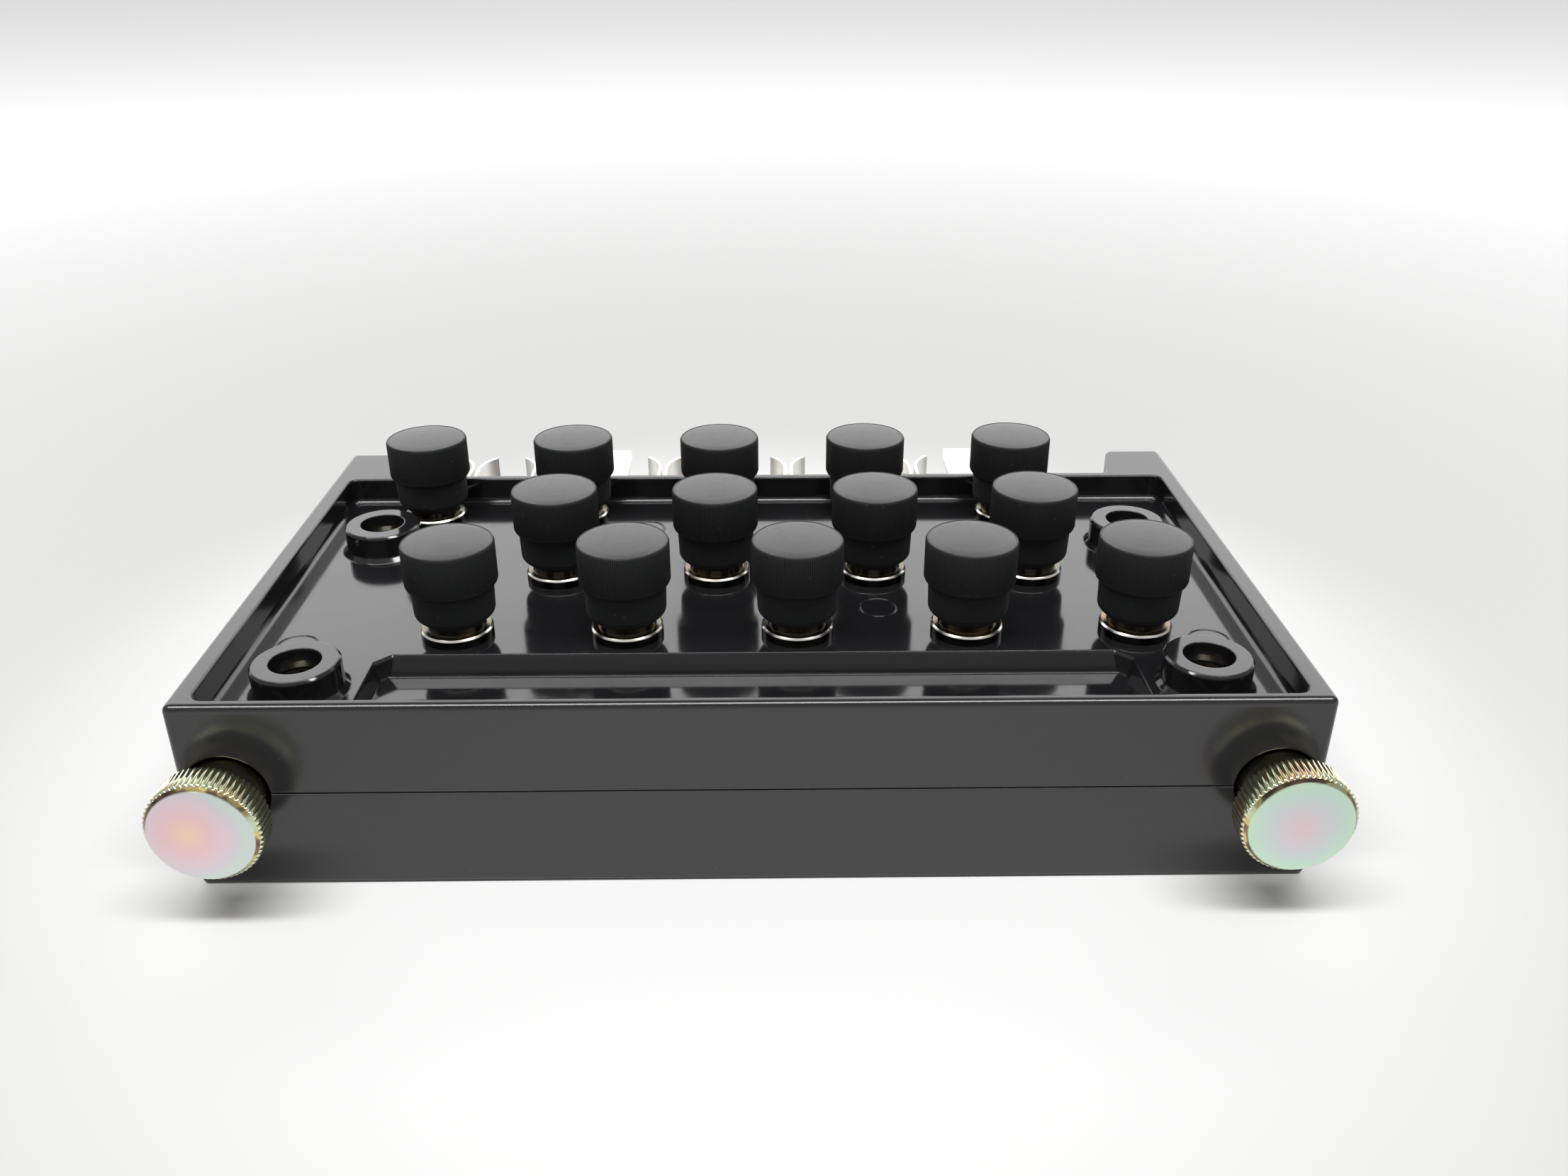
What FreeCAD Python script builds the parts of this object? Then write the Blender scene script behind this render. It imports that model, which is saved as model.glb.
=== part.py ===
import FreeCAD, Part
import Sketcher
import math
import os
import re

# Plug-in test block for a protective relay: a black two-part moulding, fourteen binding
# posts on a recessed deck, two captive thumbscrews and a rank of spring contacts behind.
# Frame: +X right, +Y from the thumbscrew heads to the contacts, +Z up. The origin is in the
# middle of the surface that it stands on. Millimetres.

DOC = FreeCAD.newDocument("RelayTestPlug")
SHEET = DOC.addObject("Spreadsheet::Sheet", "Sizes")

SIZES = [
    # moulded body
    ("body_width", 165.0), ("body_depth", 85.9), ("front_face", -50.0),
    ("lower_height", 16.3), ("upper_height", 14.6),
    ("horn_length", 11.6), ("horn_root", 68.4), ("horn_tip", 71.8),
    ("top_round", 1.1), ("bottom_round", 0.8),
    ("seam_depth", 0.22), ("seam_height", 0.16),
    # recessed deck and its rim
    ("deck_level", 26.1), ("deck_thick", 3.5),
    ("rim_side", 3.3), ("rim_front", 2.0), ("rim_rear", 2.4),
    ("recess_corner", 2.0), ("recess_fillet", 1.0), ("rim_round", 0.4),
    ("ejector_radius", 3.3), ("ejector_line", 0.28), ("ejector_deep", 0.12),
    # label pocket in the deck
    ("pocket_half", 58.8), ("pocket_rear", 22.7), ("pocket_front", 3.0),
    ("pocket_corner", 2.4), ("pocket_low_corner", 1.2), ("pocket_depth", 3.2),
    ("pocket_slope", 1.5), ("pocket_edge", 0.35), ("pocket_foot", 0.2),
    # cavity between the halves
    ("cavity_half", 69.0), ("cavity_front", 24.6), ("cavity_rear", 82.9),
    ("front_cavity_half", 59.5), ("front_cavity_start", 3.0), ("front_cavity_top", 20.4),
    ("floor_thick", 3.0), ("column_radius", 6.2),
    ("sheet_half", 60.5), ("sheet_front", 25.5), ("sheet_rear", 82.0), ("sheet_level", 14.8),
    ("sheet_thick", 1.0), ("rib_x", 40.0), ("rib_thick", 2.4),
    # screw bosses
    ("boss_x", 67.6), ("boss_front", 12.7), ("boss_rear", 62.5), ("boss_radius", 6.6),
    ("boss_flare", 0.8), ("boss_hole", 3.85), ("boss_seat", 25.5), ("boss_round", 0.4),
    ("screw_radius", 2.0), ("screw_clear", 2.15), ("screw_head", 3.5), ("screw_head_high", 2.6),
    ("screw_end", 0.7), ("screw_crown", 0.5), ("screw_dome", 0.9),
    ("screw_nut_corner", 4.04), ("screw_nut_high", 3.2), ("nut_floor", 0.6), ("nut_clear", 0.15),
    ("driver_slot", 0.9), ("driver_span", 4.6), ("driver_deep", 1.3),
    # binding posts
    ("post_pitch", 27.24), ("row_front", 29.8), ("row_middle", 50.7), ("row_rear", 75.6),
    ("stud_radius", 2.4), ("stud_bottom", 17.0), ("stud_top", 38.6), ("post_hole", 2.7),
    ("collar_radius", 5.75), ("collar_high", 1.65), ("collar_bevel", 0.35),
    ("barrel_radius", 4.6), ("barrel_top", 28.95),
    ("cap_bottom", 29.0), ("cap_chamfer", 1.3), ("cap_low_radius", 6.5), ("cap_low_top", 34.6),
    ("cap_step_top", 35.5), ("cap_radius", 7.3), ("cap_top", 42.05), ("cap_edge", 0.3),
    ("cap_crown", 0.4), ("cap_roof", 39.0),
    ("insert_radius", 4.0), ("insert_bore", 2.45), ("insert_top", 38.2), ("fit_gap", 0.05),
    ("washer_radius", 4.3), ("washer_thick", 0.8), ("nut_corner", 4.6), ("nut_high", 3.2),
    # straps and rear contacts
    ("contact_pitch", 12.6), ("strap_width", 7.0), ("strap_thick", 0.8), ("eyelet_radius", 4.6),
    ("strap_end", 91.8), ("window_gap", 0.3),
    ("leaf_start", 86.8), ("leaf_bend", 92.6), ("leaf_tip", 98.6), ("leaf_top", 29.5),
    ("leaf_thick", 0.6), ("leaf_half_gap", 0.35), ("leaf_flare", 3.2),
    ("foot_width", 3.1), ("foot_thick", 0.7), ("foot_end", 91.6),
    ("blade_half", 5.8), ("blade_end", 102.4), ("blade_nose", 5.2), ("blade_taper", 0.6),
    ("blade_thick", 0.8), ("riser_half", 4.6),
    ("rivet_radius", 0.8), ("rivet_head", 1.1), ("rivet_head_high", 0.5), ("rivet_y", 89.4),
    ("rivet_x", 2.2),
    # captive thumbscrews
    ("screw_axis_x", 75.8), ("head_front", -9.9), ("head_back", -4.7), ("head_radius", 8.2),
    ("head_face", 7.6), ("head_chamfer", 1.2), ("head_rear_chamfer", 0.4),
    ("neck_radius", 5.9), ("neck_end", 6.0), ("neck_bore", 6.1), ("neck_bore_end", 10.6),
    ("mouth_chamfer", 0.35),
    ("shank_radius", 3.9), ("shank_bore", 4.2), ("shank_end", 98.5),
    ("thread_radius", 3.1), ("thread_end", 109.9), ("thread_chamfer", 0.9),
    ("groove_start", 17.25), ("groove_width", 1.3), ("groove_radius", 3.2),
    ("ring_thick", 1.1), ("ring_outer", 5.5), ("ring_inner", 3.3), ("ring_mouth", 4.2),
    ("chamber_start", 17.0), ("chamber_end", 23.0),
]

POST_ROWS = (("row_front", 5, 1), ("row_middle", 4, 1), ("row_rear", 5, -1))
BLADE_PLACES = (2, 8)
CONTACT_COUNT = 10
SIDES = (("left", -1), ("right", 1))
EJECTOR_MARKS = ((-20.5, 37.6), (20.5, 37.6), (-20.5, 70.2), (20.5, 70.2),
                 (-72.3, 26.0), (72.3, 26.0))
OVERCUT = 1.0  # how far a cutter reaches past the surface that it opens
THROUGH = 60  # longer than anything that a bore goes through


def fill_sheet():
    """Write every driving size into the sheet, with its alias."""
    for row, (alias, value) in enumerate(SIZES, start=1):
        SHEET.set("A%d" % row, alias)
        SHEET.set("B%d" % row, str(value))
        SHEET.setAlias("B%d" % row, alias)
    DOC.recompute()


def size(alias):
    """One driving size, read back from the sheet."""
    return float(SHEET.get(alias))


def formula(text):
    """A sheet expression, from a formula written with bare aliases."""
    return re.sub(r"[a-z][a-z_]*", lambda word: "Sizes." + word.group(0), str(text))


def bind(thing, **formulas):
    """Bind properties to the sheet; a double underscore in a name stands for a dot."""
    for name, text in formulas.items():
        thing.setExpression(name.replace("__", "."), formula(text))
    return thing


def place(thing, x, y, z):
    """Bind where a shape starts."""
    return bind(thing, Placement__Base__x=x, Placement__Base__y=y, Placement__Base__z=z)


def box(name, x, y, z, length, width, height):
    """A block from its lowest corner and its three sizes, all formulas."""
    block = DOC.addObject("Part::Box", name)
    bind(block, Length=length, Width=width, Height=height)
    return place(block, x, y, z)


def cylinder(name, x, y, z, radius, height, along="Z"):
    """A round bar from the middle of its first face, along Z or Y."""
    bar = DOC.addObject("Part::Cylinder", name)
    if along == "Y":
        bar.Placement.Rotation = FreeCAD.Rotation(FreeCAD.Vector(1, 0, 0), -90)
    bind(bar, Radius=radius, Height=height)
    return place(bar, x, y, z)


def cone(name, x, y, z, first, second, height, along="Z"):
    """A cone frustum from the middle of its first face, along Z or Y."""
    frustum = DOC.addObject("Part::Cone", name)
    if along == "Y":
        frustum.Placement.Rotation = FreeCAD.Rotation(FreeCAD.Vector(1, 0, 0), -90)
    bind(frustum, Radius1=first, Radius2=second, Height=height)
    return place(frustum, x, y, z)


def hexagon(name, x, y, z, corner, height):
    """A hexagonal bar standing on its first face."""
    bar = DOC.addObject("Part::Prism", name)
    bar.Polygon = 6
    bind(bar, Circumradius=corner, Height=height)
    return place(bar, x, y, z)


def fuse(name, shapes):
    """Several overlapping shapes as one."""
    whole = DOC.addObject("Part::MultiFuse", name)
    whole.Shapes = shapes
    whole.Refine = True
    return whole


def group(name, shapes):
    """Several separate solids kept in one node."""
    whole = DOC.addObject("Part::Compound", name)
    whole.Links = shapes
    return whole


def cut(name, base, tools):
    """A shape less a list of others."""
    tool = tools[0] if len(tools) == 1 else group(name + "_tools", tools)
    result = DOC.addObject("Part::Cut", name)
    result.Base = base
    result.Tool = tool
    result.Refine = True
    return result


def rounded(name, base, radius_alias, chosen):
    """Round the edges of a shape for which chosen(edge) holds."""
    DOC.recompute()
    radius = size(radius_alias)
    result = DOC.addObject("Part::Fillet", name)
    result.Base = base
    edges = [(place_in_list, radius, radius)
             for place_in_list, edge in enumerate(base.Shape.Edges, start=1) if chosen(edge)]
    result.Edges = edges
    return result


def turned(name, label, profile, x, y, z, along="Z"):
    """A turned piece: a closed profile of (radius, height) formulas revolved about its axis."""
    body = DOC.addObject("PartDesign::Body", name)
    body.Label = label
    sketch = body.newObject("Sketcher::SketchObject", name + "_profile")
    plane = [item for item in body.Origin.OriginFeatures if item.Role == "XZ_Plane"][0]
    sketch.AttachmentSupport = [(plane, "")]
    sketch.MapMode = "FlatFace"
    spots = [(evaluate(radius), evaluate(height)) for radius, height in profile]
    count = len(spots)
    for corner in range(count):
        start = FreeCAD.Vector(spots[corner][0], spots[corner][1], 0)
        end = FreeCAD.Vector(spots[(corner + 1) % count][0], spots[(corner + 1) % count][1], 0)
        sketch.addGeometry(Part.LineSegment(start, end), False)
    for corner in range(count):
        sketch.addConstraint(Sketcher.Constraint("Coincident", corner, 2, (corner + 1) % count, 1))
    for corner, (radius, height) in enumerate(profile):
        across = sketch.addConstraint(
            Sketcher.Constraint("DistanceX", -1, 1, corner, 1, spots[corner][0]))
        sketch.setExpression("Constraints[%d]" % across, formula(radius))
        up = sketch.addConstraint(
            Sketcher.Constraint("DistanceY", -1, 1, corner, 1, spots[corner][1]))
        sketch.setExpression("Constraints[%d]" % up, formula(height))
    spin = body.newObject("PartDesign::Revolution", name + "_turn")
    spin.Profile = sketch
    spin.ReferenceAxis = (sketch, ["V_Axis"])
    spin.Angle = 360.0
    body.Tip = spin
    if along == "Y":
        body.Placement.Rotation = FreeCAD.Rotation(FreeCAD.Vector(1, 0, 0), -90)
    return place(body, x, y, z)


def evaluate(text):
    """The number that a formula of aliases gives now."""
    values = {alias: value for alias, value in SIZES}
    total = re.sub(r"[a-z][a-z_]*", lambda word: repr(values[word.group(0)]), str(text))
    return float(FreeCAD.Units.Quantity(total).Value)


def post_places():
    """Each post as (number, formula of x, formula of y)."""
    places = []
    for row, count, shift in POST_ROWS:
        for step in range(count):
            offset = step - (count - 1) / 2 + shift / 4
            places.append((len(places) + 1, "post_pitch*(%s)" % offset, "front_face+%s" % row))
    return places


def contact_offsets():
    """How many pitches each contact place stands from the middle."""
    return [step - (CONTACT_COUNT - 1) / 2 for step in range(CONTACT_COUNT)]


def boss_places():
    """Each screw boss as (name, formula of x, formula of y)."""
    return [("%s_%s" % (row, side), "boss_x*(%d)" % sign, "front_face+boss_%s" % row)
            for row in ("front", "rear") for side, sign in SIDES]


def upright(edge):
    """True for a straight edge along Z."""
    if not isinstance(edge.Curve, Part.Line):
        return False
    return abs(edge.tangentAt(edge.FirstParameter).z) > 0.999


def level(edge, height):
    """True for an edge that lies wholly at one height."""
    return abs(edge.BoundBox.ZMin - height) < 1e-4 and abs(edge.BoundBox.ZMax - height) < 1e-4


def edge_is_inside(edge):
    """True for an edge that stays clear of the outline of the body."""
    bounds = edge.BoundBox
    side = size("body_width") / 2 - size("top_round") - 0.1
    front = size("front_face") + size("top_round") + 0.1
    rear = size("front_face") + size("body_depth") - size("top_round") - 0.1
    return bounds.XMin > -side and bounds.XMax < side and bounds.YMin > front and bounds.YMax < rear


def horned_block(name, base, thick):
    """The outline of one half: a block with a tapered horn at each rear corner."""
    shapes = [box(name + "_block", "-body_width/2", "front_face", base,
                  "body_width", "body_depth", thick)]
    for side, sign in SIDES:
        horn = DOC.addObject("Part::Wedge", "%s_horn_%s" % (name, side))
        inner = "Xmin", "X2min", "Xmax", "X2max"
        if sign < 0:
            inner = "Xmax", "X2max", "Xmin", "X2min"
        bind(horn, **{inner[0]: "horn_root*(%d)" % sign, inner[1]: "horn_tip*(%d)" % sign,
                      inner[2]: "body_width/2*(%d)" % sign, inner[3]: "body_width/2*(%d)" % sign})
        bind(horn, Ymin="front_face+body_depth-%s" % OVERCUT,
             Ymax="front_face+body_depth+horn_length")
        bind(horn, Zmin=base, Zmax="%s+%s" % (base, thick))
        bind(horn, Z2min=base, Z2max="%s+%s" % (base, thick))
        shapes.append(horn)
    return fuse(name + "_outline", shapes)


def seam_cutter(name, base):
    """The thin ring that leaves a seam line around the outside of one half."""
    outside = box(name + "_seam_outside", "-body_width/2-1", "front_face-1", base,
                  "body_width+2", "body_depth+horn_length+2", "seam_height")
    inside = box(name + "_seam_inside", "-body_width/2+seam_depth", "front_face+seam_depth", base,
                 "body_width-2*seam_depth", "body_depth+horn_length+2", "seam_height")
    return cut(name + "_seam", outside, [inside])


def screw_tunnels(name):
    """The bores of both captive thumbscrews, with the chamber for the retaining ring."""
    tunnels = []
    for side, sign in SIDES:
        across = "screw_axis_x*(%d)" % sign
        title = "%s_%s" % (name, side)
        stretches = (("neck", "neck_bore", -OVERCUT, "neck_bore_end+%s" % OVERCUT),
                     ("shank", "shank_bore", 0, "body_depth+horn_length+%s" % OVERCUT),
                     ("chamber", "neck_bore", "chamber_start", "chamber_end-chamber_start"))
        for part, radius, start, length in stretches:
            tunnels.append(cylinder("%s_%s" % (title, part), across, "front_face+(%s)" % start,
                                    "lower_height", radius, length, along="Y"))
        tunnels.append(cone(title + "_mouth", across, "front_face", "lower_height",
                            "neck_bore+mouth_chamfer", "neck_bore", "mouth_chamfer", along="Y"))
    return tunnels


def ejector_grooves():
    """Shallow rings that the mould's ejector pins leave in the deck."""
    grooves = []
    for number, (x, y) in enumerate(EJECTOR_MARKS, start=1):
        spot = (x, "front_face+%s" % y, "deck_level-ejector_deep")
        outer = cylinder("ejector_outer_%d" % number, *spot, "ejector_radius", OVERCUT)
        inner = cylinder("ejector_inner_%d" % number, *spot, "ejector_radius-ejector_line",
                         OVERCUT)
        grooves.append(cut("ejector_%d" % number, outer, [inner]))
    return grooves


def pocket_cutter():
    """The label pocket: a tapered tray with its rear corners cut off and its edges eased."""
    half = size("pocket_half")
    slope = size("pocket_slope")
    top = size("deck_level")
    front = size("front_face") + size("pocket_front")
    rear = size("front_face") + size("pocket_rear")
    edge = size("pocket_edge")
    foot = size("pocket_foot")
    steep = slope / size("pocket_depth")

    def outline(inset, height, corner):
        side = half - inset / 2
        back = rear - inset
        spots = [(-side, front), (side, front), (side, back - corner), (side - corner, back),
                 (corner - side, back), (-side, back - corner)]
        return Part.makePolygon([FreeCAD.Vector(x, y, height) for x, y in spots + spots[:1]])

    floor = top - size("pocket_depth")
    cutter = DOC.addObject("Part::Feature", "pocket_cutter")
    wide = size("pocket_corner")
    low = size("pocket_low_corner")
    cutter.Shape = Part.makeLoft([outline(steep * edge - edge - OVERCUT, top + OVERCUT, wide),
                                  outline(steep * edge, top - edge, wide),
                                  outline(slope - steep * foot, floor + foot, low),
                                  outline(slope - steep * foot + foot, floor, low)], True, True)
    return cutter


def make_upper_housing():
    """The upper half: deck, rim, label pocket, bosses and the post holes."""
    top = size("lower_height") + size("upper_height")
    outline = horned_block("upper", "lower_height", "upper_height")
    shell = rounded("upper_shell", outline, "top_round",
                    lambda edge: upright(edge) or level(edge, top))
    recess = box("recess", "-body_width/2+rim_side", "front_face+rim_front", "deck_level",
                 "body_width-2*rim_side", "body_depth-rim_front-rim_rear", "upper_height")
    cornered = rounded("recess_cornered", recess, "recess_corner", upright)
    deck = size("deck_level")
    tray = rounded("recess_tray", cornered, "recess_fillet", lambda edge: level(edge, deck))
    open_deck = cut("upper_open", shell, [tray])
    soft_rim = rounded("upper_rim", open_deck, "rim_round",
                       lambda edge: level(edge, top) and edge_is_inside(edge))

    bosses = []
    for title, x, y in boss_places():
        post = cylinder("boss_" + title, x, y, "deck_level-1", "boss_radius",
                        "lower_height+upper_height-deck_level+1-boss_round")
        crown = cone("boss_crown_" + title, x, y, "lower_height+upper_height-boss_round",
                     "boss_radius", "boss_radius-boss_round", "boss_round")
        flare = cone("boss_flare_" + title, x, y, "deck_level",
                     "boss_radius+boss_flare", "boss_radius", "boss_flare")
        bosses += [post, crown, flare]
    with_bosses = fuse("upper_bossed", [soft_rim] + bosses)

    cavity = box("upper_cavity", "-cavity_half", "front_face+cavity_front", "lower_height-1",
                 "2*cavity_half", "cavity_rear-cavity_front", "deck_level-deck_thick-lower_height+1")
    columns = [cylinder("upper_column_" + side, "boss_x*(%d)" % sign, "front_face+boss_rear",
                        "lower_height", "column_radius", "upper_height") for side, sign in SIDES]
    hollow = cut("upper_hollow", cavity, columns)
    front_hollow = box("upper_front_cavity", "-front_cavity_half", "front_face+front_cavity_start",
                       "lower_height-1", "2*front_cavity_half",
                       "cavity_front-front_cavity_start+1", "front_cavity_top-lower_height+1")
    cutters = [hollow, front_hollow, pocket_cutter(), seam_cutter("upper", "lower_height")]
    cutters += screw_tunnels("upper_tunnel") + ejector_grooves()
    for title, x, y in boss_places():
        cutters.append(cylinder("boss_well_" + title, x, y, "boss_seat", "boss_hole", THROUGH))
        cutters.append(cylinder("boss_bore_" + title, x, y, "lower_height-1", "screw_clear",
                                THROUGH))
    for number, x, y in post_places():
        cutters.append(cylinder("post_hole_%02d" % number, x, y, "deck_level-deck_thick-1",
                                "post_hole", "deck_thick+2"))
    for number, offset in enumerate(contact_offsets()):
        cutters.append(box("window_%d" % number,
                           "contact_pitch*(%s)-strap_width/2-window_gap" % offset,
                           "front_face+cavity_rear-1",
                           "deck_level-deck_thick-strap_thick-window_gap",
                           "strap_width+2*window_gap", "body_depth-cavity_rear+2",
                           "strap_thick+window_gap"))
    return named(cut("upper_half", with_bosses, cutters), "upper_housing")


def make_lower_housing():
    """The lower half: an open tray with ribs, screw columns and nut pockets."""
    outline = horned_block("lower", 0, "lower_height")
    shell = rounded("lower_shell", outline, "bottom_round",
                    lambda edge: upright(edge) or level(edge, 0))
    cavity = box("lower_cavity", "-cavity_half", "front_face+cavity_front", "floor_thick",
                 "2*cavity_half", "cavity_rear-cavity_front", "lower_height")
    keepers = [cylinder("lower_column_" + side, "boss_x*(%d)" % sign, "front_face+boss_rear",
                        0, "column_radius", THROUGH) for side, sign in SIDES]
    keepers += [box("lower_rib_" + side, "rib_x*(%d)-rib_thick/2" % sign,
                    "front_face+cavity_front-1", 0, "rib_thick", "cavity_rear-cavity_front+2",
                    "sheet_level") for side, sign in SIDES]
    hollow = cut("lower_hollow", cavity, keepers)
    front_hollow = box("lower_front_cavity", "-front_cavity_half", "front_face+front_cavity_start",
                       "floor_thick", "2*front_cavity_half",
                       "cavity_front-front_cavity_start-2", "lower_height")
    cutters = [hollow, front_hollow, seam_cutter("lower", "lower_height-seam_height")]
    cutters += screw_tunnels("lower_tunnel")
    for title, x, y in boss_places():
        cutters.append(cylinder("lower_bore_" + title, x, y, -OVERCUT, "screw_clear", THROUGH))
        cutters.append(hexagon("nut_pocket_" + title, x, y, -OVERCUT, "screw_nut_corner+nut_clear",
                               "nut_floor+screw_nut_high+nut_clear+%s" % OVERCUT))
    return named(cut("lower_half", shell, cutters), "lower_housing")


def named(thing, label):
    """Give a finished sub-part the label that names its file."""
    thing.Label = label
    FINISHED.append(thing)
    return thing


def make_housing_screws():
    """Four long machine screws down the bosses and the nuts that they pull on."""
    screws = []
    nuts = []
    for title, x, y in boss_places():
        shank = cylinder("screw_shank_" + title, x, y, "screw_end", "screw_radius",
                         "boss_seat-screw_end+1")
        head = cylinder("screw_head_" + title, x, y, "boss_seat", "screw_head",
                        "screw_head_high-screw_crown")
        crown = cone("screw_crown_" + title, x, y, "boss_seat+screw_head_high-screw_crown",
                     "screw_head", "screw_head-screw_dome", "screw_crown")
        slots = [box("driver_a_" + title, x + "-driver_slot/2", y + "-driver_span/2",
                     "boss_seat+screw_head_high-driver_deep", "driver_slot", "driver_span",
                     THROUGH),
                 box("driver_b_" + title, x + "-driver_span/2", y + "-driver_slot/2",
                     "boss_seat+screw_head_high-driver_deep", "driver_span", "driver_slot",
                     THROUGH)]
        screws.append(cut("screw_" + title, fuse("screw_blank_" + title, [shank, head, crown]),
                          slots))
        blank = hexagon("nut_blank_" + title, x, y, "nut_floor", "screw_nut_corner",
                        "screw_nut_high")
        bore = cylinder("nut_bore_" + title, x, y, 0, "screw_radius", THROUGH)
        nuts.append(cut("nut_" + title, blank, [bore]))
    named(group("screw_group", screws), "housing_screws")
    named(group("screw_nut_group", nuts), "housing_nuts")


def make_post_hardware():
    """What holds each post in the deck: stud, collar, lock washer and nut."""
    studs = []
    collars = []
    washers = []
    nuts = []
    strap_under = "deck_level-deck_thick-strap_thick"
    for number, x, y in post_places():
        tag = "%02d" % number
        rod = cylinder("stud_rod_" + tag, x, y, "stud_bottom", "stud_radius",
                       "stud_top-stud_bottom-0.5")
        tip = cone("stud_tip_" + tag, x, y, "stud_top-0.5", "stud_radius", "stud_radius-0.5", 0.5)
        studs.append(fuse("stud_" + tag, [rod, tip]))
        flange = cylinder("flange_" + tag, x, y, "deck_level", "collar_radius",
                          "collar_high-collar_bevel")
        bevel = cone("flange_bevel_" + tag, x, y, "deck_level+collar_high-collar_bevel",
                     "collar_radius", "collar_radius-collar_bevel", "collar_bevel")
        barrel = cylinder("barrel_" + tag, x, y, "deck_level", "barrel_radius",
                          "barrel_top-deck_level")
        bore = cylinder("collar_bore_" + tag, x, y, 0, "stud_radius", THROUGH)
        collars.append(cut("collar_" + tag, fuse("collar_blank_" + tag, [flange, bevel, barrel]),
                           [bore]))
        disc = cylinder("washer_disc_" + tag, x, y, strap_under + "-washer_thick",
                        "washer_radius", "washer_thick")
        eye = cylinder("washer_eye_" + tag, x, y, 0, "stud_radius+0.1", THROUGH)
        washers.append(cut("washer_" + tag, disc, [eye]))
        blank = hexagon("post_nut_blank_" + tag, x, y, strap_under + "-washer_thick-nut_high",
                        "nut_corner", "nut_high")
        thread = cylinder("post_nut_bore_" + tag, x, y, 0, "stud_radius", THROUGH)
        nuts.append(cut("post_nut_" + tag, blank, [thread]))
    named(group("stud_group", studs), "post_studs")
    named(group("collar_group", collars), "post_collars")
    named(group("washer_group", washers), "post_washers")
    named(group("post_nut_group", nuts), "post_nuts")


def make_caps():
    """The moulded cap of each post and the threaded brass insert inside it."""
    cap_bore = "insert_radius+fit_gap"
    cap_profile = [
        (cap_bore, "cap_bottom"), ("cap_low_radius-cap_chamfer", "cap_bottom"),
        ("cap_low_radius", "cap_bottom+cap_chamfer"), ("cap_low_radius", "cap_low_top"),
        ("cap_radius", "cap_step_top"), ("cap_radius", "cap_top"),
        ("cap_radius-cap_edge", "cap_top+cap_edge"),
        ("cap_radius/2", "cap_top+cap_edge+cap_crown*0.8"), ("0", "cap_top+cap_edge+cap_crown"),
        ("0", "cap_roof"), (cap_bore, "cap_roof")]
    insert_profile = [
        ("insert_bore", "cap_bottom+0.2"), ("insert_radius", "cap_bottom+0.2"),
        ("insert_radius", "insert_top"), ("insert_bore", "insert_top")]
    for number, x, y in post_places():
        FINISHED.append(turned("cap_body_%02d" % number, "cap_%02d" % number, cap_profile, x, y, 0))
        FINISHED.append(turned("insert_body_%02d" % number, "insert_%02d" % number,
                               insert_profile, x, y, 0))


def flat_prism(spots, height, thick):
    """A flat piece from its outline in plan."""
    wire = Part.makePolygon([FreeCAD.Vector(x, y, height) for x, y in spots + spots[:1]])
    return Part.Face(wire).extrude(FreeCAD.Vector(0, 0, thick))


def disc(x, y, height, radius, thick):
    """A round plate standing on a height."""
    return Part.makeCylinder(radius, thick, FreeCAD.Vector(x, y, height))


def make_straps():
    """Ten copper straps under the deck, each from its posts out to its contact."""
    pitch = size("post_pitch")
    thick = size("strap_thick")
    height = size("deck_level") - size("deck_thick") - thick
    half = size("strap_width") / 2
    front = size("front_face")
    wall = front + size("cavity_rear")
    rows = {row: front + size(row) for row, _, _ in POST_ROWS}
    solids = []
    for number, offset in enumerate(contact_offsets()):
        post_x = offset * pitch / 2
        contact_x = offset * size("contact_pitch")
        tail = [(contact_x - half, wall - 0.6), (contact_x + half, wall - 0.6),
                (contact_x + half, front + size("strap_end")),
                (contact_x - half, front + size("strap_end"))]
        if number % 2:
            eyes = [rows["row_front"]]
            start, bend = rows["row_front"], rows["row_middle"]
        else:
            eyes = [rows["row_rear"]]
            start, bend = rows["row_rear"] + 2, wall - 0.6
            if number:
                eyes.append(rows["row_middle"])
        slant = [(post_x - half, start), (post_x + half, start),
                 (contact_x + half, bend), (contact_x - half, bend)]
        pieces = [flat_prism(tail, height, thick), flat_prism(slant, height, thick)]
        if number % 2:
            run = [(contact_x - half, bend - 0.01), (contact_x + half, bend - 0.01),
                   (contact_x + half, wall), (contact_x - half, wall)]
        else:
            run = [(post_x - half, min(eyes)), (post_x + half, min(eyes)),
                   (post_x + half, start + 0.01), (post_x - half, start + 0.01)]
        pieces.append(flat_prism(run, height, thick))
        pieces += [disc(post_x, eye, height, size("eyelet_radius"), thick) for eye in eyes]
        strap = pieces[0].multiFuse(pieces[1:]).removeSplitter()
        holes = [disc(post_x, eye, height - 1, size("stud_radius") + 0.1, 3) for eye in eyes]
        holes += [disc(contact_x + sign * size("rivet_x"), front + size("rivet_y"), height - 1,
                       size("rivet_radius"), 3) for side, sign in SIDES]
        solids.append(strap.cut(Part.makeCompound(holes)))
    straps = DOC.addObject("Part::Feature", "strap_group")
    straps.Shape = Part.makeCompound(solids)
    named(straps, "link_straps")


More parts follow.
